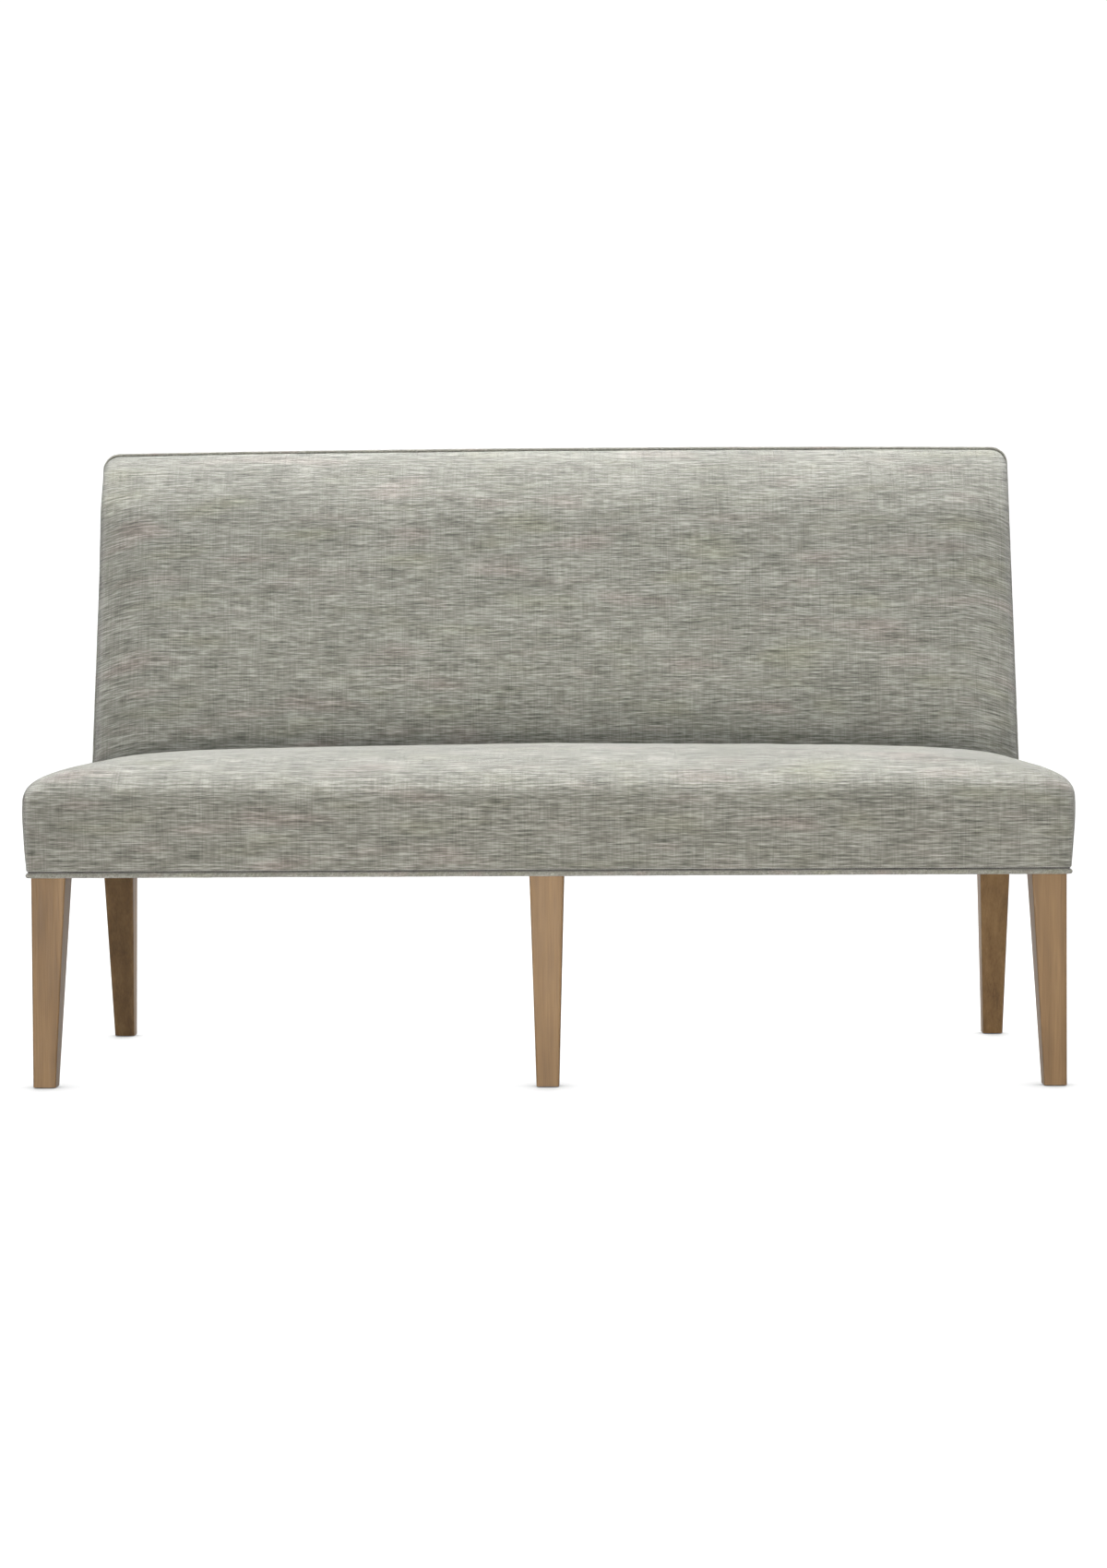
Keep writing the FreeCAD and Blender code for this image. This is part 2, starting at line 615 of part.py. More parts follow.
outside_top = "Places.back_top - Sizes.cover_thick"
sheet = Block("outside_back_sheet")
sheet.pad("YZ_Plane", "-Places.back_half", "Places.back_half",
          rear_sheet("Sizes.board_thick", "Sizes.board_thick + Sizes.cover_thick", "Places.hem", outside_top))
outline = Block("outside_back_outline")
outline.pad("XZ_Plane", "Places.rear", "Places.rear + 2 * Sizes.post_lean + Sizes.board_thick",
            rectangle("-Places.back_half", "Places.back_half",
                      "Places.hem - 2 * Sizes.back_corner", outside_top),
            "Sizes.back_corner")
outside = doc.addObject("Part::Common", "outside_back_cover")
outside.Base = sheet.body
outside.Tool = outline.body
keep(outside, "outside_back_cover")

# Dust cover: thin cloth under the rails, notched round the legs
dust = Block("dust_cover")
dust_side = "Places.half - Sizes.dust_inset"
dust_front = "Places.front + Sizes.dust_inset"
dust_rear = "Places.rear - Sizes.dust_inset"
notch_side = "Places.leg_inner - Sizes.dust_notch"
notch_front = "Places.leg_back + Sizes.dust_notch"
notch_rear = "Places.post_front - Sizes.dust_notch"
notch_center = "Sizes.leg_head / 2 + Sizes.dust_notch"
right_half = [
    (notch_center, notch_front),
    (notch_center, dust_front),
    (notch_side, dust_front),
    (notch_side, notch_front),
    (dust_side, notch_front),
    (dust_side, notch_rear),
    (notch_side, notch_rear),
    (notch_side, dust_rear),
]
left_half = [(f"-({along})", up) for along, up in reversed(right_half)]
dust.pad("XY_Plane", "Sizes.rail_bottom - Sizes.dust_thick", "Sizes.rail_bottom", right_half + left_half)
keep(dust.body, "dust_cover")

# Deck cloth: laid over the webbing from rail to rail, cut out round the posts
deck = Block("seat_deck_cloth")
deck_side = "Places.half - Sizes.deck_inset"
deck_front = "Places.front + Sizes.deck_inset"
deck_rear = "Places.rear - Sizes.deck_inset"
deck_right = [(deck_side, deck_front), (deck_side, notch_rear), (notch_side, notch_rear),
              (notch_side, deck_rear)]
deck_left = [(f"-({along})", up) for along, up in reversed(deck_right)]
deck.pad("XY_Plane", "Places.deck_base", "Places.deck_top", deck_right + deck_left)
keep(deck.body, "seat_deck_cloth")


def add_shape(shape, label):
    """A piece that no primitive or sketch describes."""
    piece = doc.addObject("Part::Feature", label)
    piece.Shape = shape
    piece.Placement = FreeCAD.Placement()
    return keep(piece, label)


# Webbing: every strap passes over and under the straps that it crosses
def strap_profile(low, high, crossings, first_sign):
    """Distance and height along one strap's middle, with a flat at each crossing."""
    rise = place("weave_rise")
    flat = size("strap_width") / 2 + size("strap_gap")
    bearing = size("strap_bearing")
    middle = place("rail_top") + size("strap_thick") / 2
    points = [(low - bearing, middle), (low, middle)]
    for number, spot in enumerate(crossings):
        level = middle + rise * first_sign * (-1) ** number
        points += [(spot - flat, level), (spot + flat, level)]
    return points + [(high, middle), (high + bearing, middle)]


def strap(points, spot, lengthwise):
    """A strap of even thickness along a profile, across X or along it."""
    half_thick = size("strap_thick") / 2
    half_width = size("strap_width") / 2
    rim = [(along, up + half_thick) for along, up in points]
    rim += [(along, up - half_thick) for along, up in reversed(points)]
    if lengthwise:
        spots = [FreeCAD.Vector(along, spot - half_width, up) for along, up in rim]
        sweep = FreeCAD.Vector(0, 2 * half_width, 0)
    else:
        spots = [FreeCAD.Vector(spot - half_width, along, up) for along, up in rim]
        sweep = FreeCAD.Vector(2 * half_width, 0, 0)
    return Part.Face(Part.makePolygon(spots + spots[:1])).extrude(sweep)


def spread(low, high, count):
    """Even places for straps between two rails."""
    pitch = (high - low) / count
    return [low + pitch * (number + 0.5) for number in range(count)]


rail_inner = place("rail_inner")
seat_low = place("front_rail_back")
seat_high = place("rear_rail_front")
cross_spots = spread(-rail_inner, rail_inner, round(size("cross_straps")))
long_spots = spread(seat_low, seat_high, round(size("long_straps")))
long_set = [strap(strap_profile(-rail_inner, rail_inner, cross_spots, (-1) ** number), spot, True)
            for number, spot in enumerate(long_spots)]
cross_set = [strap(strap_profile(seat_low, seat_high, long_spots, -(-1) ** number), spot, False)
             for number, spot in enumerate(cross_spots)]
add_shape(Part.makeCompound(long_set), "seat_webbing_long")
add_shape(Part.makeCompound(cross_set), "seat_webbing_cross")


# Faces of the leaning back, as numbers
def post_face(level):
    """The front of the posts at a level."""
    return place("post_front") + place("lean_rate") * (level - place("rail_top"))


def pad_face(level):
    """The front of the back's padding at its sides, at a level."""
    share = (level - place("rail_top")) / (size("post_top") - place("rail_top"))
    return post_face(level) - size("pad_low") - share * (size("pad_high") - size("pad_low"))


def cover_rear(level):
    """The inner face of the outside cover at a level."""
    lean = max(level - place("rail_top"), 0) * place("lean_rate")
    return place("rear") + size("board_thick") + lean


def prism(corners, half_length):
    """A solid across the bench from an outline of depths and heights."""
    spots = [FreeCAD.Vector(-half_length, depth, level) for depth, level in corners]
    return Part.Face(Part.makePolygon(spots + spots[:1])).extrude(FreeCAD.Vector(2 * half_length, 0, 0))


back_strap_low = place("lower_rail_base") + size("strap_gap")
back_strap_high = size("post_top") - size("top_bevel") - size("strap_gap")
back_strap_rim = [(post_face(back_strap_low), back_strap_low), (post_face(back_strap_high), back_strap_high)]
back_strap_rim += [(depth - size("strap_thick"), level) for depth, level in reversed(back_strap_rim)]
back_set = []
for spot in spread(-place("leg_inner"), place("leg_inner"), round(size("back_straps"))):
    piece = prism(back_strap_rim, size("strap_width") / 2)
    piece.translate(FreeCAD.Vector(spot, 0, 0))
    back_set.append(piece)
add_shape(Part.makeCompound(back_set), "back_webbing")


# Soft forms: lofts through level rings of lines and arcs
def ring(level, half, front, rear, front_radius, rear_radius=0.0, swell=0.0, taper=0.0):
    """A level outline with rounded front corners, a swelling front edge and sides that draw in to it."""
    def spot(x, y):
        return FreeCAD.Vector(x, y, level)

    def corner(x, y, radius, begin, end):
        turns = (begin, (begin + end) / 2, end)
        bends = [spot(x + radius * math.cos(math.radians(turn)), y + radius * math.sin(math.radians(turn)))
                 for turn in turns]
        return Part.Arc(*bends).toShape()

    lean = math.atan(taper)
    inner = half - taper * (rear - front - front_radius) - front_radius / math.cos(lean)
    side_x = inner + front_radius * math.cos(lean)
    side_y = front + front_radius * (1 - math.sin(lean))
    outer = half - rear_radius
    if swell > 0:
        front_edge = Part.Arc(spot(-inner, front), spot(0, front - swell), spot(inner, front))
    else:
        front_edge = Part.LineSegment(spot(-inner, front), spot(inner, front))
    right_corner = []
    left_corner = []
    if rear_radius > 0:
        right_corner.append(corner(outer, rear - rear_radius, rear_radius, 0, 90))
        left_corner.append(corner(-outer, rear - rear_radius, rear_radius, 90, 180))
    return Part.Wire([
        front_edge.toShape(),
        corner(inner, front + front_radius, front_radius, 270, 360 - math.degrees(lean)),
        Part.LineSegment(spot(side_x, side_y), spot(half, rear - rear_radius)).toShape(),
        *right_corner,
        Part.LineSegment(spot(outer, rear), spot(-outer, rear)).toShape(),
        *left_corner,
        Part.LineSegment(spot(-half, rear - rear_radius), spot(-side_x, side_y)).toShape(),
        corner(-inner, front + front_radius, front_radius, 180 + math.degrees(lean), 270),
    ])


# Heights of the rings on the seat's crown, as shares of the crown
CROWN_STEPS = (0.12, 0.25, 0.38, 0.5, 0.61, 0.71, 0.8, 0.875, 0.93, 0.97)
BISECTIONS = 40


def crown_inset(share, reach, fullness):
    """How far the crown has drawn in at a share of its height."""
    return reach * (1 - (1 - share ** fullness) ** (1 / fullness))


def crown_half(share, wide):
    """Half the crown's width at the back, at a share of its height: full ends under a slight droop."""
    fullness = size("side_fullness")
    low, high = 0.0, 1.0
    for _ in range(BISECTIONS):
        middle = (low + high) / 2
        rise = (1 - middle ** fullness) ** (1 / fullness) * (1 - size("side_droop") * middle)
        low, high = (middle, high) if rise > share else (low, middle)
    return wide * low


def seat_form(base, hem_inset, inset, rear_inset):
    """The seat's swelling, crowned form, set in from its outer face at the hem and above."""
    bulge_level = place("bulge_level")
    wide = place("half") + size("hem_proud") + size("bulge") - inset
    near = place("front") - size("hem_proud") - size("bulge") + inset
    short = (bulge_level - base) / (bulge_level - place("hem"))
    draw = short * (size("bulge") + hem_inset - inset)
    corner = size("seat_corner") - inset
    base_corner = corner + short * (size("hem_corner") - hem_inset - corner)
    rear_gap = size("soft_gap") + rear_inset
    rings = [ring(base, wide - draw, near + draw, pad_face(base) - rear_gap, base_corner),
             ring(bulge_level, wide, near, pad_face(bulge_level) - rear_gap, corner)]
    for share in CROWN_STEPS:
        level = bulge_level + share * (size("crown") - inset)
        front_in = crown_inset(share, size("front_reach"), size("front_fullness"))
        taper = size("crown_taper") * share ** size("taper_power")
        half = crown_half(share, wide) - taper * rear_gap
        rear = pad_face(level) - rear_gap
        rings.append(ring(level, half, near + front_in, rear, corner + front_in, taper=taper))
    return Part.makeLoft(rings, True, True)


BEYOND = 40.0
cover_thick = size("cover_thick")
gap = size("soft_gap")
seat_batting_in = cover_thick + gap
seat_foam_in = seat_batting_in + size("seat_batting_thick") + gap
pad_base = place("pad_base")
hem = place("hem")

seat_outer = seat_form(hem, 0, 0, 0)
seat_inner = seat_form(hem, cover_thick, cover_thick, cover_thick)
below_deck = prism([(seat_low, hem - BEYOND), (pad_face(hem) + BEYOND, hem - BEYOND),
                    (pad_face(hem) + BEYOND, pad_base), (seat_low, pad_base)],
                   place("half") + size("hem_proud") - cover_thick)
add_shape(seat_outer.cut(seat_inner).cut(below_deck), "seat_cover")

batting_hem = size("hem_proud") - gap
batting_outer = seat_form(hem, seat_batting_in, seat_batting_in, cover_thick)
batting_inner = seat_form(hem, batting_hem, seat_foam_in - gap, -BEYOND)
add_shape(batting_outer.cut(batting_inner), "seat_batting")
add_shape(seat_form(pad_base, batting_hem, seat_foam_in, cover_thick), "seat_foam")

# Angles of the rings on the rolled top of the back
ROLL_STEPS = (16, 32, 46, 57, 66, 74, 80, 84)


def back_form(base, inset, rear_inset):
    """The back's form with its crowned front and rolled top, set in from its outer face."""
    top = place("back_top") - inset
    roll_height = size("roll_height") - inset
    roll_base = top - roll_height
    swell_base = place("crown_top")
    plain_step = (roll_base - swell_base) / 3
    levels = [base, place("rail_top"), pad_base] if base < pad_base else [base]
    levels += [swell_base + plain_step * number for number in range(4)]
    levels += [roll_base + roll_height * math.sin(math.radians(turn)) for turn in ROLL_STEPS]
    rings = []
    for level in levels:
        roll = max(level - roll_base, 0) / roll_height
        front = pad_face(level) + inset + size("roll_depth") * (1 - math.sqrt(1 - roll ** 2))
        corner = max(1 - (1 - roll) * size("roll_height") / size("back_corner"), 0)
        half = place("back_half") - inset - size("back_corner") * (1 - math.sqrt(1 - corner ** 2))
        rear = cover_rear(level) - rear_inset
        rise = max(level - swell_base, 0) / (top - swell_base)
        fullness = min(max(level - place("rail_top"), 0) / (swell_base - place("rail_top")), 1)
        edge = size("back_foot_edge") + fullness * (size("back_edge") - size("back_foot_edge"))
        edge = min(edge, (cover_rear(level) - front) / 2)
        swell = size("back_crown") * math.sin(math.pi * rise)
        rings.append(ring(level, half, front, rear, edge, swell=swell))
    return Part.makeLoft(rings, True, True)


back_top = place("back_top")
seam_base = pad_face(pad_base) + size("seam_setback")
seam_rate = (pad_face(back_top) + size("seam_crest") - seam_base) / (back_top - pad_base)
seam_gap = size("back_welt_radius") + gap
wide_reach = place("back_half") + BEYOND


def ahead_of_seam(shift):
    """All the space above the deck and in front of the seam, moved by a shift."""
    high = back_top + BEYOND
    far = pad_face(hem) - BEYOND
    return prism([(far, pad_base), (seam_base + shift, pad_base),
                  (seam_base + seam_rate * (high - pad_base) + shift, high), (far, high)], wide_reach)


back_shell = back_form(hem, 0, 0).cut(back_form(hem, cover_thick, -BEYOND))
front_below_deck = prism([(pad_face(hem) - BEYOND, hem - BEYOND), (place("post_front"), hem - BEYOND),
                          (place("post_front"), pad_base), (pad_face(hem) - BEYOND, pad_base)],
                         place("back_half") - cover_thick)
add_shape(back_shell.common(ahead_of_seam(-seam_gap)), "back_panel")
add_shape(back_shell.cut(ahead_of_seam(seam_gap)).cut(front_below_deck), "back_border")

# The padding fits round the frame: in front of the webbing and over the top rail
frame_room = size("strap_thick") + gap
bevel_start = size("post_top") - size("top_bevel")
frame_space = prism([
    (post_face(hem - BEYOND) - frame_room, hem - BEYOND),
    (post_face(bevel_start) - frame_room, bevel_start),
    (post_face(size("post_top")) + size("top_bevel") - frame_room, size("post_top") + gap),
    (cover_rear(back_top) + BEYOND, size("post_top") + gap),
    (cover_rear(back_top) + BEYOND, hem - BEYOND),
], wide_reach)
back_batting_in = cover_thick + gap
back_foam_in = back_batting_in + size("back_batting_thick") + gap
back_batting = back_form(pad_base, back_batting_in, gap).cut(back_form(pad_base, back_foam_in - gap, -BEYOND))
add_shape(back_batting.cut(frame_space), "back_batting")
add_shape(back_form(pad_base, back_foam_in, gap).cut(frame_space), "back_foam")


# Welts: round cords along runs and tangent arcs
def welt(edges, radius):
    """A cord along a path of edges."""
    path = Part.Wire(edges)
    first = path.Edges[0]
    start = first.valueAt(first.FirstParameter)
    heading = first.tangentAt(first.FirstParameter)
    section = Part.Wire(Part.Circle(start, heading, radius).toShape())
    solid = path.makePipeShell([section], True, False)
    expected = math.pi * radius ** 2 * path.Length
    if abs(solid.Volume - expected) > 0.01 * expected:
        raise RuntimeError("a welt's volume doesn't match its length")
    return solid


welt_offset = size("seat_welt_offset")
welt_corner = size("seat_welt_corner")
seat_loop = ring(place("seat_welt_level"), place("half") + welt_offset, place("front") - welt_offset,
                 place("rear") + welt_offset, welt_corner, welt_corner)
add_shape(welt(seat_loop.Edges, size("seat_welt_radius")), "seat_welt")

stand_off = size("back_welt_radius") - cover_thick
seam_length = math.hypot(1, seam_rate)
seam_top = (back_top + stand_off - pad_base) * seam_length
seam_side = place("back_half") + stand_off
seam_turn = size("back_corner") + stand_off


def on_seam(x, climb):
    """A point on the plane of the seam, by its place across and its climb from the deck."""
    rise = climb / seam_length
    return FreeCAD.Vector(x, seam_base + seam_rate * rise, pad_base + rise)


def seam_arc(side):
    """The turn of the seam at one top corner, from the side to the top."""
    slack = seam_turn * (1 - math.sqrt(0.5))
    return Part.Arc(on_seam(side * seam_side, seam_top - seam_turn),
                    on_seam(side * (seam_side - slack), seam_top - slack),
                    on_seam(side * (seam_side - seam_turn), seam_top)).toShape()


def seam_run(x_start, climb_start, x_end, climb_end):
    """A straight stretch of the seam."""
    return Part.LineSegment(on_seam(x_start, climb_start), on_seam(x_end, climb_end)).toShape()


seam_path = [
    seam_run(-seam_side, seam_gap, -seam_side, seam_top - seam_turn),
    seam_arc(-1),
    seam_run(seam_turn - seam_side, seam_top, seam_side - seam_turn, seam_top),
    seam_arc(1),
    seam_run(seam_side, seam_top - seam_turn, seam_side, seam_gap),
]
add_shape(welt(seam_path, size("back_welt_radius")), "back_welt")

doc.recompute()
for item in doc.Objects:
    if "Invalid" in item.State or "Error" in item.State:
        raise RuntimeError(f"{item.Label} failed: {item.State}")
for piece in nodes:
    if piece.Shape.isNull() or not piece.Shape.isValid():
        raise RuntimeError(f"{piece.Label} has no valid shape")
    if not piece.Shape.Solids:
        raise RuntimeError(f"{piece.Label} holds no solid")

os.makedirs("parts", exist_ok=True)
for piece in nodes:
    piece.Shape.exportStep(f"parts/{piece.Label}.step")
print(len(nodes), "pieces,", sum(len(piece.Shape.Solids) for piece in nodes), "solids")
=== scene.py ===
"""Dining banquette: cloth, padding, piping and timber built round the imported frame.

Lengths are metres in the frame's own axes: +X to the right as seen from the front, +Y to the
rear, +Z up, with the origin on the floor in the middle.
"""

import json
import logging
import math
from dataclasses import dataclass
from enum import Enum
from itertools import accumulate
from typing import Any, Callable, Iterable, Sequence

import bmesh
import bpy
from bmesh.types import BMEdge, BMFace, BMVert, BMesh
from bpy.types import ColorRamp, Material, Node, NodeSocket, Object
from mathutils import Matrix, Vector, kdtree, noise

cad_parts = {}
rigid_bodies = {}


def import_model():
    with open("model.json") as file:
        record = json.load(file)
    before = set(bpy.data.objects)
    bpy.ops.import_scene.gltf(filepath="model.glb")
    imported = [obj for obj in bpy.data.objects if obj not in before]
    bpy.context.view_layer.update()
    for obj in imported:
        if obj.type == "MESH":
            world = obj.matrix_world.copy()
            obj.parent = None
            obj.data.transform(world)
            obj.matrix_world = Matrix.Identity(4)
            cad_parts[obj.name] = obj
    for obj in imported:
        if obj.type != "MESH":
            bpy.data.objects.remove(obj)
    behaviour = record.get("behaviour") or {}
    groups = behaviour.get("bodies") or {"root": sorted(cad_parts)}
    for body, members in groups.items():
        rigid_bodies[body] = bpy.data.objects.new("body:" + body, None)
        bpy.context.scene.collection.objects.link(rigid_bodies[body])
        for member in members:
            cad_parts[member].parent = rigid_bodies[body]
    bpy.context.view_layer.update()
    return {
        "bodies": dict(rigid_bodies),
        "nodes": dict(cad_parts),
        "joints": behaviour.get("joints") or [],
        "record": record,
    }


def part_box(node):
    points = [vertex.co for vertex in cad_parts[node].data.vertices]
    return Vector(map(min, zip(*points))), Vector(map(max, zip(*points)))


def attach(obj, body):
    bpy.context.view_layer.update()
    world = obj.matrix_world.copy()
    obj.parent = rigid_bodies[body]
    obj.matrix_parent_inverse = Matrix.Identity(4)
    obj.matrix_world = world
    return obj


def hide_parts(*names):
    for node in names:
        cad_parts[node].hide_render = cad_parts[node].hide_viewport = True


log = logging.getLogger("banquette")

Pair = tuple[float, float]
Triple = tuple[float, float, float]
Quad = tuple[float, float, float, float]
Waves = tuple[Pair, ...]
Stops = Sequence[tuple[float, Sequence[float]]]

BODY = "root"
CLOTH_MAP = "Cloth"
MERGE = 1e-5
WHITE: Triple = (1.0, 1.0, 1.0)
WARM: Triple = (1.0, 0.965, 0.915)
LEG_NODES = ("front_left_leg", "front_center_leg", "front_right_leg", "rear_left_post", "rear_right_post")


# Shader nodes


class Signal:
    """A number in a material that plain arithmetic adds Math nodes to."""

    def __init__(self, bench: "NodeBench", socket: NodeSocket) -> None:
        """Wrap the output that carries the number."""
        self.bench = bench
        self.socket = socket

    def _math(self, operation: str, first: Any, second: Any = 0.0) -> "Signal":
        """Add one Math node and take its result."""
        return self.bench.number("ShaderNodeMath", {"operation": operation}, {0: first, 1: second})

    def __add__(self, other: Any) -> "Signal":
        """Sum."""
        return self._math("ADD", self, other)

    __radd__ = __add__

    def __sub__(self, other: Any) -> "Signal":
        """Difference."""
        return self._math("SUBTRACT", self, other)

    def __rsub__(self, other: Any) -> "Signal":
        """Difference from a plain number."""
        return self._math("SUBTRACT", other, self)

    def __mul__(self, other: Any) -> "Signal":
        """Product."""
        return self._math("MULTIPLY", self, other)

    __rmul__ = __mul__

    def clamped(self) -> "Signal":
        """The number kept between 0 and 1."""
        return self.bench.number("ShaderNodeClamp", {}, {"Value": self})

    def sine(self) -> "Signal":
        """The number's sine."""
        return self._math("SINE", self)


@dataclass(frozen=True)
class Grain:
    """One stretched noise of a finish, with its features in a metre and its share in the finish's sums."""

    scale: Triple
    octaves: float
    fineness: float = 0.5
    tone: float = 0.0
    relief: float = 0.0
    rough: float = 0.0


class NodeBench:
    """Makes one material and the nodes in it."""

    def __init__(self, name: str) -> None:
        """Start an empty material.

        Args:
            name: The material's name.
        """
        self.material = bpy.data.materials.new(name)
        self.material.use_nodes = True
        self.tree = self.material.node_tree
        self.tree.nodes.clear()

    def node(self, kind: str, settings: dict[str, Any], sockets: dict[Any, Any]) -> Node:
        """Add a node.

        Args:
            kind: The node's type.
            settings: Its own properties, set first. A ramp's stops go under "stops".
            sockets: Values or links of its inputs, by name or number.

        Returns:
            The new node.
        """
        node = self.tree.nodes.new(kind)
        for key, setting in settings.items():
            if key == "stops":
                self._set_stops(node.color_ramp, setting)
            else:
                setattr(node, key, setting)
        for key, source in sockets.items():
            target = node.inputs[key]
            if isinstance(source, Signal):
                self.tree.links.new(source.socket, target)
            elif isinstance(source, NodeSocket):
                self.tree.links.new(source, target)
            else:
                target.default_value = source
        return node

    @staticmethod
    def _set_stops(ramp: ColorRamp, stops: Stops) -> None:
        """Give a ramp its stops.

        Args:
            ramp: The colour ramp.
            stops: Positions with their colours, in rising order.
        """
        while len(ramp.elements) < len(stops):
            ramp.elements.new(1.0)
        for element, (position, color) in zip(ramp.elements, stops):
            element.position = position
            element.color = (*color, 1.0)

    def number(self, kind: str, settings: dict[str, Any], sockets: dict[Any, Any]) -> Signal:
        """Add a node and take its first output as a number."""
        return Signal(self, self.node(kind, settings, sockets).outputs[0])

    def space(self) -> NodeSocket:
        """The piece's own coordinates."""
        return self.node("ShaderNodeTexCoord", {}, {}).outputs["Object"]

    def noise(self, place: NodeSocket, grain: Grain) -> Signal:
        """Noise stretched along the axes.

        Args:
            place: The coordinates to read.
            grain: Its scale and octaves.

        Returns:
            A number about from -0.5 to 0.5.
        """
        stretched = self.node("ShaderNodeVectorMath", {"operation": "MULTIPLY"}, {0: place, 1: grain.scale})
        cells = self.number("ShaderNodeTexNoise", {"noise_dimensions": "3D"},
                            {"Vector": stretched.outputs[0], "Scale": 1.0, "Detail": grain.octaves,
                             "Roughness": grain.fineness})
        return cells - 0.5

    def sums(self, place: NodeSocket, grains: Iterable[Grain]) -> tuple[Signal, ...]:
        """Add up a finish's grains.

        Args:
            place: The coordinates to read.
            grains: The grains, of which at least one has a share in each sum.

        Returns:
            The tone, the relief and the change in roughness.
        """
        noises = [(grain, self.noise(place, grain)) for grain in grains]
        totals = []
        for use in ("tone", "relief", "rough"):
            parts = [number * getattr(grain, use) for grain, number in noises if getattr(grain, use)]
            totals.append(sum(parts[1:], parts[0]))
        return tuple(totals)

    def ramp(self, position: Signal, stops: Stops) -> NodeSocket:
        """A colour that follows a number."""
        return self.node("ShaderNodeValToRGB", {"stops": stops}, {"Fac": position}).outputs["Color"]

    def tinted(self, color: NodeSocket, shade: Triple, share: Signal) -> NodeSocket:
        """A colour multiplied by a share of a shade."""
        settings = {"data_type": "RGBA", "blend_type": "MULTIPLY"}
        return self.node("ShaderNodeMix", settings, {"Factor": share, 6: color, 7: (*shade, 1.0)}).outputs[2]

    def finish(self, color: Any, roughness: Any, height: Signal | None, depth: float,
               constants: dict[str, Any]) -> Material:
        """End the material in a Principled shader.

        Args:
            color: Base colour or its socket.
            roughness: Roughness or its signal.
            height: Relief for the bump, if any.
            depth: The relief's depth in metres.
            constants: Further sockets, which take a plain value or a link.

        Returns:
            The finished material.
        """
        sockets = {"Base Color": color, "Roughness": roughness, **constants}
        if height is not None:
            bump = self.node("ShaderNodeBump", {}, {"Height": height, "Strength": 1.0, "Distance": depth})
            sockets["Normal"] = bump.outputs["Normal"]
        shader = self.node("ShaderNodeBsdfPrincipled", {}, sockets)
        self.node("ShaderNodeOutputMaterial", {}, {"Surface": shader.outputs[0]})
        return self.material


# Finishes


class ClothPlace(Enum):
    """Where a woven finish reads its threads from."""

    SEWN_MAP = "the cover's own map"
    SOLID = "the piece's place in space"


@dataclass(frozen=True)
class SlubLinen:
    """Grey linen-look weave with long light and dark slubs along the weft."""

    name: str
    place: ClothPlace = ClothPlace.SEWN_MAP
    bias: float = 0.0
    contrast: float = 1.0
    dark: Triple = (0.105, 0.108, 0.092)
    middle: Triple = (0.268, 0.268, 0.232)
    light: Triple = (0.520, 0.520, 0.480)
    stops: Triple = (0.16, 0.5, 0.86)
    blush: Triple = (1.07, 0.965, 0.985)
    moss: Triple = (1.00, 1.005, 0.915)
    tint: Grain = Grain((6.0, 22.0, 22.0), 1.0)
    tint_gain: float = 5.0
    tint_from: float = 0.3
    long_slub: Grain = Grain((20.0, 330.0, 330.0), 2.0, 0.6, tone=1.2, relief=0.9, rough=0.12)
    short_slub: Grain = Grain((60.0, 640.0, 640.0), 1.0, tone=0.8, relief=0.8)
    warp: Grain = Grain((420.0, 18.0, 18.0), 1.0, tone=0.3, relief=0.3)
    cloud: Grain = Grain((5.0, 30.0, 30.0), 2.0, tone=0.35)
    yarn: float = 0.0013
    yarn_relief: float = 0.22
    roughness: float = 0.88
    depth: float = 0.0016

    def material(self) -> Material:
        """Make the cloth.

        Returns:
            The woven material.
        """
        bench = NodeBench(self.name)
        place = self._threads(bench)
        tone, relief, rough = bench.sums(place, (self.long_slub, self.short_slub, self.warp, self.cloud))
        shades = (self.dark, self.middle, self.light)
        color = bench.ramp(tone * self.contrast + 0.5, list(zip(self.stops, shades)))
        tint = bench.noise(place, self.tint)
        for gain, shade in ((self.tint_gain, self.blush), (-self.tint_gain, self.moss)):
            color = bench.tinted(color, shade, (tint * gain - self.tint_from).clamped())
        relief = relief + self._yarns(bench, place) * self.yarn_relief
        return bench.finish(color, self.roughness + rough, relief, self.depth,
                            {"Sheen Weight": 0.5, "Sheen Roughness": 0.4, "Specular IOR Level": 0.2})

    def _threads(self, bench: NodeBench) -> NodeSocket:
        """The coordinates that the threads follow.

        Args:
            bench: The material's node maker.

        Returns:
            A socket with the weft along X.
        """
        if self.place is ClothPlace.SEWN_MAP:
            source = bench.node("ShaderNodeUVMap", {"uv_map": CLOTH_MAP}, {}).outputs["UV"]
        else:
            source = bench.space()
        turn = (0.0, self.bias, self.bias)
        return bench.node("ShaderNodeMapping", {}, {"Vector": source, "Rotation": turn}).outputs["Vector"]

    def _yarns(self, bench: NodeBench, place: NodeSocket) -> Signal:
        """The over and under of single yarns.

        Args:
            bench: The material's node maker.
            place: The thread coordinates.

        Returns:
            A relief from -1 to 1.
        """
        axes = bench.node("ShaderNodeSeparateXYZ", {}, {0: place})
        pitch = 2.0 * math.pi / self.yarn
        across, along = ((Signal(bench, axes.outputs[axis]) * pitch).sine() for axis in (0, 1))
        return across * along


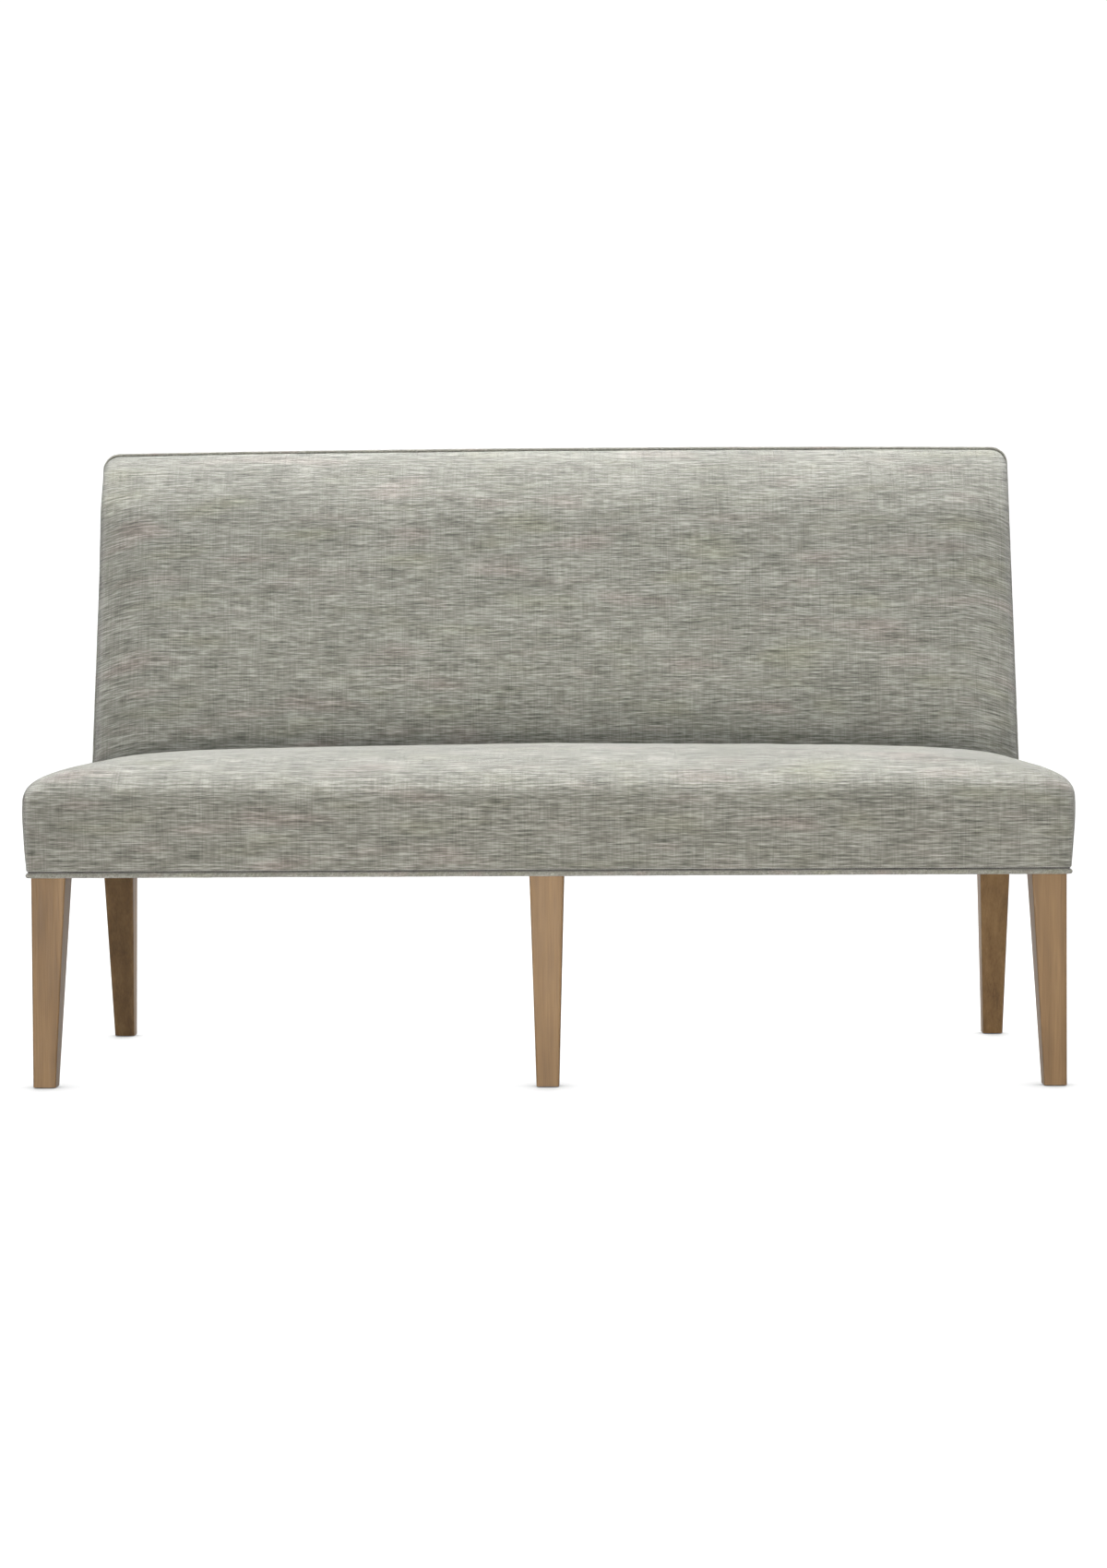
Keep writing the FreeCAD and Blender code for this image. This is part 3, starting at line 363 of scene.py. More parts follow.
@dataclass(frozen=True)
class StainedWood:
    """Brown stained hardwood with its grain upright."""

    name: str
    dark: Triple = (0.092, 0.050, 0.018)
    middle: Triple = (0.166, 0.095, 0.037)
    light: Triple = (0.230, 0.140, 0.060)
    stops: Triple = (0.16, 0.5, 0.84)
    bands: Grain = Grain((62.0, 62.0, 2.6), 3.0, 0.6, tone=0.85, relief=0.4)
    pores: Grain = Grain((430.0, 430.0, 13.0), 2.0, 0.6, tone=0.55, relief=0.8, rough=0.25)
    drift: Grain = Grain((9.0, 9.0, 2.2), 2.0, tone=0.35)
    cloud: Grain = Grain((14.0, 14.0, 7.0), 2.0, tone=0.45)
    roughness: float = 0.5
    depth: float = 0.0005

    def material(self) -> Material:
        """Make the wood.

        Returns:
            The stained material.
        """
        bench = NodeBench(self.name)
        tone, relief, rough = bench.sums(bench.space(), (self.bands, self.pores, self.drift, self.cloud))
        color = bench.ramp(tone + 0.5, list(zip(self.stops, (self.dark, self.middle, self.light))))
        return bench.finish(color, self.roughness + rough, relief, self.depth, {"Specular IOR Level": 0.3})


@dataclass(frozen=True)
class Speckle:
    """A hidden or plain stuff: two tones in an even grain, with its relief."""

    name: str
    dark: Triple
    light: Triple
    cells: float
    roughness: float
    relief: float
    metallic: float = 0.0
    stops: Pair = (0.15, 0.85)
    finer: float = 4.0

    def material(self) -> Material:
        """Make the stuff.

        Returns:
            The speckled material.
        """
        bench = NodeBench(self.name)
        coarse = Grain((self.cells,) * 3, 3.0, 0.6, tone=1.4, relief=0.6)
        fine = Grain((self.finer * self.cells,) * 3, 2.0, 0.6, tone=0.9, relief=1.0, rough=0.15)
        tone, relief, rough = bench.sums(bench.space(), (coarse, fine))
        color = bench.ramp(tone + 0.5, list(zip(self.stops, (self.dark, self.light))))
        return bench.finish(color, self.roughness + rough, relief, self.relief, {"Metallic": self.metallic})


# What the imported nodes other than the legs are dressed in
HIDDEN_STUFF = (
    (Speckle("sawn_beech", (0.42, 0.30, 0.19), (0.66, 0.53, 0.38), 55.0, 0.7, 0.0006),
     ("front_rail", "rear_rail", "left_side_rail", "right_side_rail", "center_rail", "back_top_rail",
      "back_lower_rail", "back_center_stile", "corner_blocks")),
    (Speckle("cream_foam", (0.62, 0.56, 0.40), (0.80, 0.75, 0.60), 240.0, 0.95, 0.0012),
     ("seat_foam", "back_foam")),
    # Batting in grey felt, darkened beyond its own colour so the crevice above the seat piping shows painted
    # shade
    (Speckle("grey_felt_painted_shade", (0.045, 0.045, 0.042), (0.115, 0.112, 0.105), 90.0, 0.95, 0.0020),
     ("seat_batting", "back_batting")),
    (Speckle("black_webbing", (0.010, 0.010, 0.011), (0.045, 0.045, 0.048), 300.0, 0.8, 0.0006),
     ("seat_webbing_long", "seat_webbing_cross", "back_webbing")),
    (Speckle("tan_burlap", (0.26, 0.18, 0.09), (0.50, 0.38, 0.22), 350.0, 0.95, 0.0008),
     ("seat_deck_cloth",)),
    (Speckle("grey_board", (0.25, 0.20, 0.14), (0.42, 0.35, 0.26), 130.0, 0.9, 0.0003),
     ("outside_back_board",)),
    (Speckle("zinc_steel", (0.42, 0.42, 0.42), (0.62, 0.62, 0.62), 160.0, 0.35, 0.0001, 1.0),
     ("corner_bolts", "center_leg_screws")),
    (Speckle("black_nylon", (0.010, 0.010, 0.010), (0.030, 0.030, 0.030), 500.0, 0.5, 0.0001),
     ("floor_glides",)),
)
CAMBRIC = Speckle("black_cambric", (0.006, 0.006, 0.006), (0.022, 0.022, 0.023), 420.0, 0.92, 0.0004)


# Forms


class Stretch(Enum):
    """The stretches of a level outline, in the order in which it is walked from the rear's middle."""

    REAR_RIGHT = 0
    SIDE_RIGHT = 1
    CORNER_RIGHT = 2
    FRONT = 3
    CORNER_LEFT = 4
    SIDE_LEFT = 5
    REAR_LEFT = 6


Chart = Callable[[int, Stretch, float, Vector], Pair]


@dataclass(frozen=True)
class Ring:
    """One level outline of an upholstered form."""

    level: float
    half: float
    front: float
    rear: float
    radius: float
    swell: float = 0.0
    taper: float = 0.0

    def point(self, stretch: Stretch, share: float) -> Vector:
        """A point on the outline.

        Args:
            stretch: Which stretch of the outline.
            share: How far along the stretch, from 0 to 1.

        Returns:
            The point.
        """
        if stretch in (Stretch.CORNER_LEFT, Stretch.SIDE_LEFT, Stretch.REAR_LEFT):
            twin = self.point(Stretch(Stretch.REAR_LEFT.value - stretch.value), 1.0 - share)
            return Vector((-twin.x, twin.y, twin.z))
        lean = math.atan(self.taper)
        inner = self.half - self.taper * (self.rear - self.front - self.radius) - self.radius / math.cos(lean)
        if stretch is Stretch.REAR_RIGHT:
            return Vector((share * self.half, self.rear, self.level))
        if stretch is Stretch.SIDE_RIGHT:
            corner = self.point(Stretch.CORNER_RIGHT, 0.0)
            return Vector((self.half, self.rear, self.level)).lerp(corner, share)
        if stretch is Stretch.CORNER_RIGHT:
            turn = lean + share * (0.5 * math.pi - lean)
            return Vector((inner + self.radius * math.cos(turn),
                           self.front + self.radius * (1.0 - math.sin(turn)), self.level))
        across = 1.0 - 2.0 * share
        return Vector((inner * across, self.front - self.swell * (1.0 - across * across), self.level))


@dataclass(frozen=True)
class Stations:
    """How many columns each stretch of the outline gets."""

    rear: int
    side: int
    corner: int
    front: int

    def walk(self) -> list[tuple[Stretch, float]]:
        """The columns in order.

        Returns:
            A stretch and a share for each column, the first repeated at the end.
        """
        half = (self.rear, self.side, self.corner)
        columns = []
        for stretch, count in zip(Stretch, (*half, self.front, *reversed(half))):
            columns += [(stretch, step / count) for step in range(count)]
        return columns + [(Stretch.REAR_LEFT, 1.0)]


def smooth(low: float, high: float, number: float) -> float:
    """A soft step from 0 at the low place to 1 at the high one."""
    share = min(max((number - low) / (high - low), 0.0), 1.0)
    return share * share * (3.0 - 2.0 * share)


def hump(places: Quad, number: float) -> float:
    """A soft step up between the first two places and down between the last two."""
    return smooth(*places[:2], number) * (1.0 - smooth(*places[2:], number))


def uneven(point: Vector, waves: Waves) -> float:
    """The unevenness of pulled cloth, from noises with their fineness and height."""
    return sum(noise.noise(point * fineness) * height for fineness, height in waves)


def arc_lengths(points: Sequence[Pair]) -> list[float]:
    """Lengths along a profile from its first point, one for each point."""
    return list(accumulate(map(math.dist, points, points[1:]), initial=0.0))


def look_up(number: float, keys: Sequence[float], values: Sequence[float]) -> float:
    """Straight-line reading of a table with rising keys.

    Args:
        number: The place to read.
        keys: The table's places.
        values: The table's values.

    Returns:
        The value there.
    """
    if number <= keys[0]:
        return values[0]
    for low, high, first, second in zip(keys, keys[1:], values, values[1:]):
        if number <= high:
            return first + (second - first) * (number - low) / max(high - low, 1e-9)
    return values[-1]


def link(name: str, data: Any) -> Object:
    """Put an object with the given data into the scene.

    Args:
        name: The object's name.
        data: Its mesh, light or camera.

    Returns:
        The object.
    """
    thing = bpy.data.objects.new(name, data)
    bpy.context.scene.collection.objects.link(thing)
    return thing


def add_object(name: str, mesh: BMesh, material: Material) -> Object:
    """Turn a finished bmesh into an object in the scene.

    Args:
        name: The object's name.
        mesh: The bmesh, which is freed.
        material: Its finish.

    Returns:
        The object.
    """
    data = bpy.data.meshes.new(name)
    mesh.to_mesh(data)
    mesh.free()
    data.materials.append(material)
    return link(name, data)


def new_piece(name: str, node: str, mesh: BMesh, material: Material) -> Object:
    """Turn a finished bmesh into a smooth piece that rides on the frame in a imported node's place.

    Args:
        name: The piece's name.
        node: The node that it replaces.
        mesh: The bmesh, which is freed.
        material: Its finish.

    Returns:
        The piece.
    """
    for face in mesh.faces:
        face.smooth = True
    piece = add_object(name, mesh, material)
    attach(piece, BODY)
    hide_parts(node)
    log.info("%s: %d faces", name, len(piece.data.polygons))
    return piece


def cut(mesh: BMesh, point: Vector, facing: Vector, clear: bool = False) -> None:
    """Cut a mesh along a plane, and clear away what lies in its direction if asked."""
    bmesh.ops.bisect_plane(mesh, geom=mesh.verts[:] + mesh.edges[:] + mesh.faces[:], plane_co=point,
                           plane_no=facing, dist=MERGE, clear_outer=clear)


def fill_holes(mesh: BMesh) -> list[BMFace]:
    """Close a mesh's open edges with faces, and return those."""
    border = [edge for edge in mesh.edges if edge.is_boundary]
    return bmesh.ops.holes_fill(mesh, edges=border, sides=0)["faces"]


def wrapped(rings: Sequence[Ring], stations: Stations, chart: Chart) -> BMesh:
    """Wrap a flat grid of cloth round a form.

    Args:
        rings: The form's outlines from the bottom up.
        stations: The columns round each outline.
        chart: Gives the cloth's own coordinates, in metres, of a row, stretch, share and point.

    Returns:
        The closed mesh with its cloth map.
    """
    columns = stations.walk()
    wide, high = len(columns) - 1, len(rings) - 1
    mesh = bmesh.new()
    bmesh.ops.create_grid(mesh, x_segments=wide, y_segments=high, size=0.5)
    cloth = mesh.loops.layers.uv.new(CLOTH_MAP)
    flat = {vert: (round((vert.co.x + 0.5) * wide), round((vert.co.y + 0.5) * high)) for vert in mesh.verts}
    for vert, (column, row) in flat.items():
        vert.co = rings[row].point(*columns[column])
    for face in mesh.faces:
        middle = sum(flat[loop.vert][0] for loop in face.loops) / len(face.loops)
        for loop in face.loops:
            loop[cloth].uv = chart(flat[loop.vert][1], *columns[min(int(middle), wide)], loop.vert.co)
    bmesh.ops.remove_doubles(mesh, verts=mesh.verts, dist=MERGE)
    bmesh.ops.dissolve_degenerate(mesh, edges=mesh.edges, dist=MERGE)
    fill_holes(mesh)
    bmesh.ops.recalc_face_normals(mesh, faces=mesh.faces)
    return mesh


@dataclass
class Padding:
    """A cloth simulation that fills a form, and carries its movement back to the form's own mesh."""

    voxel: float = 0.009
    pressure: float = 4.0
    frames: int = 20
    quality: int = 4
    mass: float = 0.3
    stiffness: float = 20.0
    bending: float = 1.0
    usual: float = 0.0016
    most: float = 0.0026
    dip: float = 0.0009
    neighbours: int = 6
    nearest: float = 1e-4

    def fill(self, mesh: BMesh, held: Callable[[Vector], bool]) -> None:
        """Swell a closed form between the places where it is held.

        Args:
            mesh: The form, whose points move.
            held: Says whether a point is fixed.
        """
        bag = self._bag(mesh)
        rest = [vert.co.copy() for vert in bag.data.vertices]
        normals = [vert.normal.copy() for vert in bag.data.vertices]
        pins = bag.vertex_groups.new(name="held")
        pins.add([index for index, point in enumerate(rest) if held(point)], 1.0, "REPLACE")
        self._simulate(bag, pins.name)
        graph = bpy.context.evaluated_depsgraph_get()
        swollen = [vert.co.copy() for vert in bag.evaluated_get(graph).data.vertices]
        moves = [(end - start).dot(normal) for start, end, normal in zip(rest, swollen, normals)]
        free = sorted(move for start, move in zip(rest, moves) if not held(start))
        middle = free[len(free) // 2]
        spread = max(free[len(free) * 9 // 10] - middle, MERGE)
        log.info("padding: middle %.4f m, spread %.4f m, %d points", middle, spread, len(rest))
        tree = kdtree.KDTree(len(rest))
        for index, point in enumerate(rest):
            tree.insert(point, index)
        tree.balance()
        mesh.normal_update()
        shifts = {}
        for vert in mesh.verts:
            if held(vert.co):
                continue
            near = tree.find_n(vert.co, self.neighbours)
            weights = [1.0 / (distance + self.nearest) for _, _, distance in near]
            move = sum(weight * moves[index] for weight, (_, index, _) in zip(weights, near)) / sum(weights)
            shift = (move - middle) * self.usual / spread
            limit = self.most if shift > 0.0 else self.dip
            shifts[vert] = vert.normal * limit * math.tanh(shift / limit)
        for vert, shift in shifts.items():
            vert.co += shift
        bpy.data.objects.remove(bag, do_unlink=True)

    def _bag(self, mesh: BMesh) -> Object:
        """A copy of the form in even voxels.

        Args:
            mesh: The form.

        Returns:
            The copy as an object.
        """
        data = bpy.data.meshes.new("bag")
        mesh.to_mesh(data)
        source = link("bag_source", data)
        remesh = source.modifiers.new("even", "REMESH")
        remesh.mode = "VOXEL"
        remesh.voxel_size = self.voxel
        graph = bpy.context.evaluated_depsgraph_get()
        even = bpy.data.meshes.new_from_object(source.evaluated_get(graph))
        bpy.data.objects.remove(source, do_unlink=True)
        return link("bag", even)

    def _simulate(self, bag: Object, pins: str) -> None:
        """Run the cloth.

        Args:
            bag: The copy in even voxels.
            pins: Its group of fixed points.
        """
        cloth = bag.modifiers.new("cloth", "CLOTH")
        settings = {"quality": self.quality, "mass": self.mass, "tension_stiffness": self.stiffness,
                    "compression_stiffness": self.stiffness, "bending_stiffness": self.bending,
                    "use_pressure": True, "uniform_pressure_force": self.pressure, "vertex_group_mass": pins}
        for key, setting in settings.items():
            setattr(cloth.settings, key, setting)
        cloth.settings.effector_weights.gravity = 0.0
        cloth.collision_settings.use_collision = False
        cloth.point_cache.frame_start = 1
        cloth.point_cache.frame_end = self.frames
        for frame in range(1, self.frames + 1):
            bpy.context.scene.frame_set(frame)


# Sub-assemblies


@dataclass
class BackFace:
    """The leaning front of the back's padding."""

    base: float = 0.410
    depth: float = 0.14525
    rate: float = 0.16957

    def at(self, level: float) -> float:
        """How far to the rear the face lies at a level."""
        return self.depth + self.rate * (level - self.base)


@dataclass
class Seat:
    """The tight crowned seat, one cloth pulled over front, top and sides."""

    cloth: Material
    back_face: BackFace
    wide: float = 0.7875
    near: float = -0.34575
    hem: float = 0.3223
    hem_lift: float = 0.0044
    bulge: float = 0.0075
    bulge_level: float = 0.42195
    bulge_power: float = 1.5
    crown: float = 0.0885
    front_reach: float = 0.220
    front_fullness: float = 2.6
    side_fullness: float = 6.0
    side_droop: float = 0.085
    crown_taper: float = 0.30
    taper_power: float = 3.0
    taper_limit: float = 0.5
    corner: float = 0.018
    corner_limit: float = 0.4
    hem_corner: float = 0.0065
    rear_gap: float = 0.0003
    fold: float = 0.0016
    fold_turns: Triple = (0.0, 30.0, 60.0)
    wall_rows: int = 14
    crest_turns: range = range(4, 60, 2)
    top_step: float = 0.004
    map_turn: Pair = (0.25, 0.6)
    held_band: float = 0.012
    waves: Waves = ((9.0, 0.0009), (24.0, 0.0004))
    stations: Stations = Stations(24, 62, 8, 200)

    def build(self) -> None:
        """Make the padded seat."""
        rings = self._rings()
        mesh = wrapped(rings, self.stations, self._chart(rings))
        Padding().fill(mesh, self._held)
        self._settle(mesh)
        piece = new_piece("seat_upholstery", "seat_cover", mesh, self.cloth)

    def _chart(self, rings: Sequence[Ring]) -> Chart:
        """Lay the cloth out, with its weft across the seat and its warp over the front.

        Args:
            rings: The seat's outlines.

        Returns:
            The cloth's coordinates as a function.
        """
        front = arc_lengths([(ring.front, ring.level) for ring in rings])
        side = arc_lengths([(ring.half, ring.level) for ring in rings])
        first = next(row for row, ring in enumerate(rings) if ring.level >= self.bulge_level - MERGE)
        front_in = [ring.front - self.near for ring in rings[first:]]
        side_in = [self.wide - ring.half for ring in rings[first:]]

        def chart(row: int, stretch: Stretch, share: float, point: Vector) -> Pair:
            """Find a point of the seat on the flat cloth.

            Args:
                row: The point's outline.
                stretch: The stretch that its face lies on.
                share: How far along the stretch that face lies.
                point: The point.

            Returns:
                Its place along the weft and along the warp.
            """
            over = look_up(self.wide - abs(point.x), side_in, side[first:])
            depth = point.y - self.near
            up = look_up(depth, front_in, front[first:]) + max(depth - front_in[-1], 0.0)
            high = smooth(*self.map_turn, (rings[row].level - self.bulge_level) / self.crown)
            to_side = stretch in (Stretch.SIDE_RIGHT, Stretch.SIDE_LEFT)
            to_side = to_side or (stretch is Stretch.CORNER_RIGHT and share < 0.5)
            to_side = to_side or (stretch is Stretch.CORNER_LEFT and share >= 0.5)
            if to_side:
                over = side[row] + high * (over - side[row])
            else:
                up = front[row] + high * (up - front[row])
            return (-1.0 if point.x < 0.0 else 1.0) * (side[-1] - over), up

        return chart

    def _rings(self) -> list[Ring]:
        """The seat's outlines from the folded hem to the crest.

        Returns:
            The outlines.
        """
        rings = []
        edge = self.hem + self.hem_lift
        for turn in self.fold_turns:
            angle = math.radians(turn)
            level = edge + self.fold * (1.0 - math.cos(angle))
            rings.append(self._wall(level, self._draw(level) + self.fold * (1.0 - math.sin(angle))))
        for step in range(self.wall_rows + 1):
            level = edge + self.fold + step / self.wall_rows * (self.bulge_level - edge - self.fold)
            rings.append(self._wall(level, self._draw(level)))
        shares = [math.sin(math.radians(turn)) ** (2.0 / self.front_fullness) for turn in self.crest_turns]
        count = round((1.0 - shares[-1]) / self.top_step)
        shares += [shares[-1] + (1.0 - shares[-1]) * step / count for step in range(1, count + 1)]
        return rings + [self._crest(share) for share in shares]

    def _crest(self, share: float) -> Ring:
        """An outline of the crown: full ends under a slight droop, sides drawing in to the front.

        Args:
            share: Its share of the crown's height.

        Returns:
            The outline.
        """
        low, high = 0.0, 1.0
        while high - low > MERGE:
            middle = 0.5 * (low + high)
            rise = (1.0 - middle ** self.side_fullness) ** (1.0 / self.side_fullness)
            rise *= 1.0 - self.side_droop * middle
            low, high = (middle, high) if rise > share else (low, middle)
        fall = max(1.0 - share ** self.front_fullness, 0.0) ** (1.0 / self.front_fullness)
        front_in = self.front_reach * (1.0 - fall)
        level = self.bulge_level + share * self.crown
        front, rear = self.near + front_in, self.back_face.at(level) - self.rear_gap
        most = self.taper_limit * self.wide * low / (rear - front)
        taper = min(self.crown_taper * share ** self.taper_power, most)
        half = self.wide * low - taper * self.rear_gap
        radius = min(self.corner + front_in, self.corner_limit * half)
        return Ring(level, half, front, rear, radius, taper=taper)

    def _draw(self, level: float) -> float:
        """How far the walls are drawn in under the bulge at a level."""
        share = (level - self.hem) / (self.bulge_level - self.hem)
        return self.bulge * max(1.0 - share, 0.0) ** self.bulge_power

    def _wall(self, level: float, inward: float) -> Ring:
        """An outline of the drawn-in walls below the bulge.

        Args:
            level: Its height.
            inward: How far it lies inside the bulge.

        Returns:
            The outline.
        """
        share = min(max((level - self.hem) / (self.bulge_level - self.hem), 0.0), 1.0)
        radius = self.hem_corner + share * (self.corner - self.hem_corner)
        rear = self.back_face.at(level) - self.rear_gap
        return Ring(level, self.wide - inward, self.near + inward, rear, radius)

    def _held(self, point: Vector) -> bool:
        """Whether the cloth is fixed at a point, along the hem and at the back."""
        rear = self.back_face.at(point.z) - self.held_band
        return point.z < self.hem + self.held_band or point.y > rear

    def _settle(self, mesh: BMesh) -> None:
        """Give the pulled cloth its slight unevenness.

        Args:
            mesh: The seat's mesh.
        """
        mesh.normal_update()
        for vert in mesh.verts:
            if not self._held(vert.co):
                vert.co += vert.normal * uneven(vert.co, self.waves)


@dataclass
class Back:
    """The padded back: a panel rolled over the top, a border behind its seam, and the outside cloth."""

    cloth: Material
    back_face: BackFace
    half: float = 0.777
    hem: float = 0.3223
    low_levels: Pair = (0.352, 0.381)
    rail_top: float = 0.410
    hidden: float = 0.47
    top: float = 1.0115
    camber: float = 0.0045
    camber_reach: float = 0.25
    roll_depth: float = 0.060
    roll_height: float = 0.130
    roll_turns: range = range(5, 90, 5)
    crest_steps: tuple[float, ...] = (0.0, 0.35, 0.7, 1.0)
    crown: float = 0.006
    swell_base: float = 0.51045
    edge: float = 0.018
    foot_edge: float = 0.003
    corner: float = 0.024
    rear: float = 0.26875
    lean: float = 0.093913
    seam_base: float = 0.15792
    seam_level: float = 0.41395
    seam_rate: float = 0.24320
    seam_gap: float = 0.0024
    seam_rows: Pair = (0.007, 0.012)
    seam_draw: float = 0.0016
    seam_spread: float = 0.0045
    seam_held: float = 0.010
    row_step: float = 0.0105
    map_level: float = 0.5
    map_side: float = 0.8
    bow: float = 0.024
    bow_reach: float = 0.105
    bow_fade: float = 0.15
    waves: Waves = ((8.0, 0.0009), (23.0, 0.0004))
    gather_height: float = 0.0011
    gather_reach: Quad = (0.004, 0.018, 0.03, 0.085)
    gather_fan: Quad = (-1.1, 0.1, 1.5, 2.6)
    gather_folds: float = 19.0
    gather_stray: Pair = (30.0, 2.0)
    outside_columns: int = 124
    outside_rows: int = 64
    outside_straight: int = 52
    outside_off: float = 0.0016
    outside_thick: float = 0.0014
    outside_map: Pair = (3.0, 2.0)
    turned_in: float = 0.0020
    turned_band: float = 0.006
    slack: float = 0.0011
    slack_band: float = 0.08
    slack_scale: float = 5.0
    slack_slice: float = 3.0
    stations: Stations = Stations(20, 14, 7, 190)

    def build(self) -> None:
        """Make the panel, the border and the outside cloth."""
        rings = self._rings()
        mesh = wrapped(rings, self.stations, self._chart(rings))
        Padding().fill(mesh, self._held)
        seam = Vector((0.0, self.seam_base, self.seam_level))
        facing = Vector((0.0, 1.0, -self.seam_rate)).normalized()
        rows = (self.seam_gap, *self.seam_rows)
        for shift in (*(-row for row in reversed(rows)), *rows):
            cut(mesh, seam + facing * shift, facing)
        self._settle(mesh, seam, facing)
        self.arch(mesh)
        border_mesh = mesh.copy()
        cut(mesh, seam - facing * self.seam_gap, facing, clear=True)
        cut(border_mesh, seam + facing * self.seam_gap, -facing, clear=True)
        for name, node, form in (("back_front_panel", "back_panel", mesh),
                                 ("back_side_border", "back_border", border_mesh)):
            self._close(form)
            piece = new_piece(name, node, form, self.cloth)
        self._outside()

    def _chart(self, rings: Sequence[Ring]) -> Chart:
        """Lay the cloth out, with its weft across and its warp up the front and over the top.

        Args:
            rings: The back's outlines.

        Returns:
            The cloth's coordinates as a function.
        """
        climb = arc_lengths([(ring.front, ring.level) for ring in rings])
        upright = len(rings) - len(self.crest_steps) + 1
        start = look_up(self.map_level, [ring.level for ring in rings[:upright]], climb[:upright])

        def chart(row: int, stretch: Stretch, share: float, point: Vector) -> Pair:
            """Find a point of the back on the flat cloth.

            Args:
                row: The point's outline.
                stretch: The stretch that its face lies on.
                share: How far along the stretch that face lies, which changes nothing here.
                point: The point.

            Returns:
                Its place along the weft and along the warp.
            """
            near_edge = max(1.0 - (self.half - abs(point.x)) / self.bow_reach, 0.0)
            pull = self.bow * near_edge ** 2 * (1.0 - smooth(self.top - self.bow_fade, self.top, point.z))
            along = climb[row] - start + pull
            if stretch in (Stretch.FRONT, Stretch.REAR_LEFT, Stretch.REAR_RIGHT):
                return point.x, along
            reach = max(point.y - rings[row].front, 0.0)
            return point.x + (-1.0 if point.x < 0.0 else 1.0) * reach * self.map_side, along

        return chart

    def _rear_at(self, level: float) -> float:
        """The rear of the form at a level."""
        return self.rear + self.lean * max(level - self.rail_top, 0.0)

    def _rings(self) -> list[Ring]:
        """The back's outlines from the hem to the middle of its top.

        Returns:
            The outlines.
        """
        roll_base = self.top - self.roll_height
        levels = [self.hem, *self.low_levels, self.rail_top, self.seam_level]
        rise = roll_base - self.seam_level
        count = round(rise / self.row_step)
        levels += [self.seam_level + rise * step / count for step in range(1, count + 1)]
        levels += [roll_base + self.roll_height * math.sin(math.radians(turn)) for turn in self.roll_turns]
        rings = [self._outline(level) for level in levels]
        crest = self._outline(self.top)
        depth = 0.5 * (crest.rear - crest.front)
        for inward in self.crest_steps:
            shift = inward * depth
            rings.append(Ring(crest.level, crest.half - shift, crest.front + shift, crest.rear - shift,
                              crest.radius * (1.0 - inward)))
        return rings

    def _outline(self, level: float) -> Ring:
        """One outline of the back.

        Args:
            level: Its height.

        Returns:
            The outline.
        """
        roll = min(max(level - self.top + self.roll_height, 0.0) / self.roll_height, 1.0)
        front = self.back_face.at(level) + self.roll_depth * (1.0 - math.sqrt(1.0 - roll ** 2))
        turn = min(max(1.0 - (1.0 - roll) * self.roll_height / self.corner, 0.0), 1.0)
        half = self.half - self.corner * (1.0 - math.sqrt(1.0 - turn ** 2))
        rise = min(max(level - self.swell_base, 0.0) / (self.top - self.swell_base), 1.0)
        fullness = min(max(level - self.rail_top, 0.0) / (self.swell_base - self.rail_top), 1.0)
        radius = self.foot_edge + fullness * (self.edge - self.foot_edge)
        rear = self._rear_at(level)
        return Ring(level, half, front, rear, min(radius, 0.5 * (rear - front)),
                    self.crown * math.sin(math.pi * rise))

    def _held(self, point: Vector) -> bool:
        """Whether the cloth is fixed at a point, behind the seam and low down where the seat hides it."""
        seam = self.seam_base + self.seam_rate * (point.z - self.seam_level)
        return point.z < self.hidden or point.y > seam - self.seam_held

    def _settle(self, mesh: BMesh, seam: Vector, facing: Vector) -> None:
        """Draw the seam in, gather the top corners and give the cloth its slight unevenness.

        Args:
            mesh: The back's mesh.
            seam: A point on the seam's plane.
            facing: The plane's direction to the rear.
        """
        mesh.normal_update()
        shifts = {}
        for vert in mesh.verts:
            away = (vert.co - seam).dot(facing)
            move = -self.seam_draw * math.exp(-(away / self.seam_spread) ** 2)
            if away < 0.0 and vert.co.z > self.hidden:
                move += uneven(vert.co, self.waves) + self._gather(vert.co)
            shifts[vert] = vert.normal * move
        for vert, shift in shifts.items():
            vert.co += shift

    def _gather(self, point: Vector) -> float:
        """The small gathers that fan out from a top corner.

        Args:
            point: A point of the panel.

        Returns:
            How far it stands out.
        """
        across = abs(point.x) - (self.half - self.corner)
        up = point.z - (self.top - self.corner)
        fan = math.atan2(up, across)
        fade = hump(self.gather_reach, math.hypot(across, up)) * hump(self.gather_fan, fan)
        fineness, stray = self.gather_stray
        turn = fan * self.gather_folds + stray * noise.noise(point * fineness)
        return self.gather_height * fade * math.sin(turn)

    def arch(self, mesh: BMesh) -> None:
        """Raise the middle of the top edge a little.

        Args:
            mesh: A mesh of the back, before it becomes a piece.
        """
        for vert in mesh.verts:
            middle = 1.0 - (vert.co.x / self.half) ** 2
            vert.co.z += self.camber * middle * smooth(self.top - self.camber_reach, self.top, vert.co.z)

    @staticmethod
    def _close(mesh: BMesh) -> None:
        """Close a cut form with flat hidden faces behind its seams.

        Args:
            mesh: The cut mesh.
        """
        bmesh.ops.dissolve_degenerate(mesh, edges=mesh.edges, dist=MERGE)
        for face in fill_holes(mesh):
            for edge in face.edges:
                edge.smooth = False
        bmesh.ops.recalc_face_normals(mesh, faces=mesh.faces)

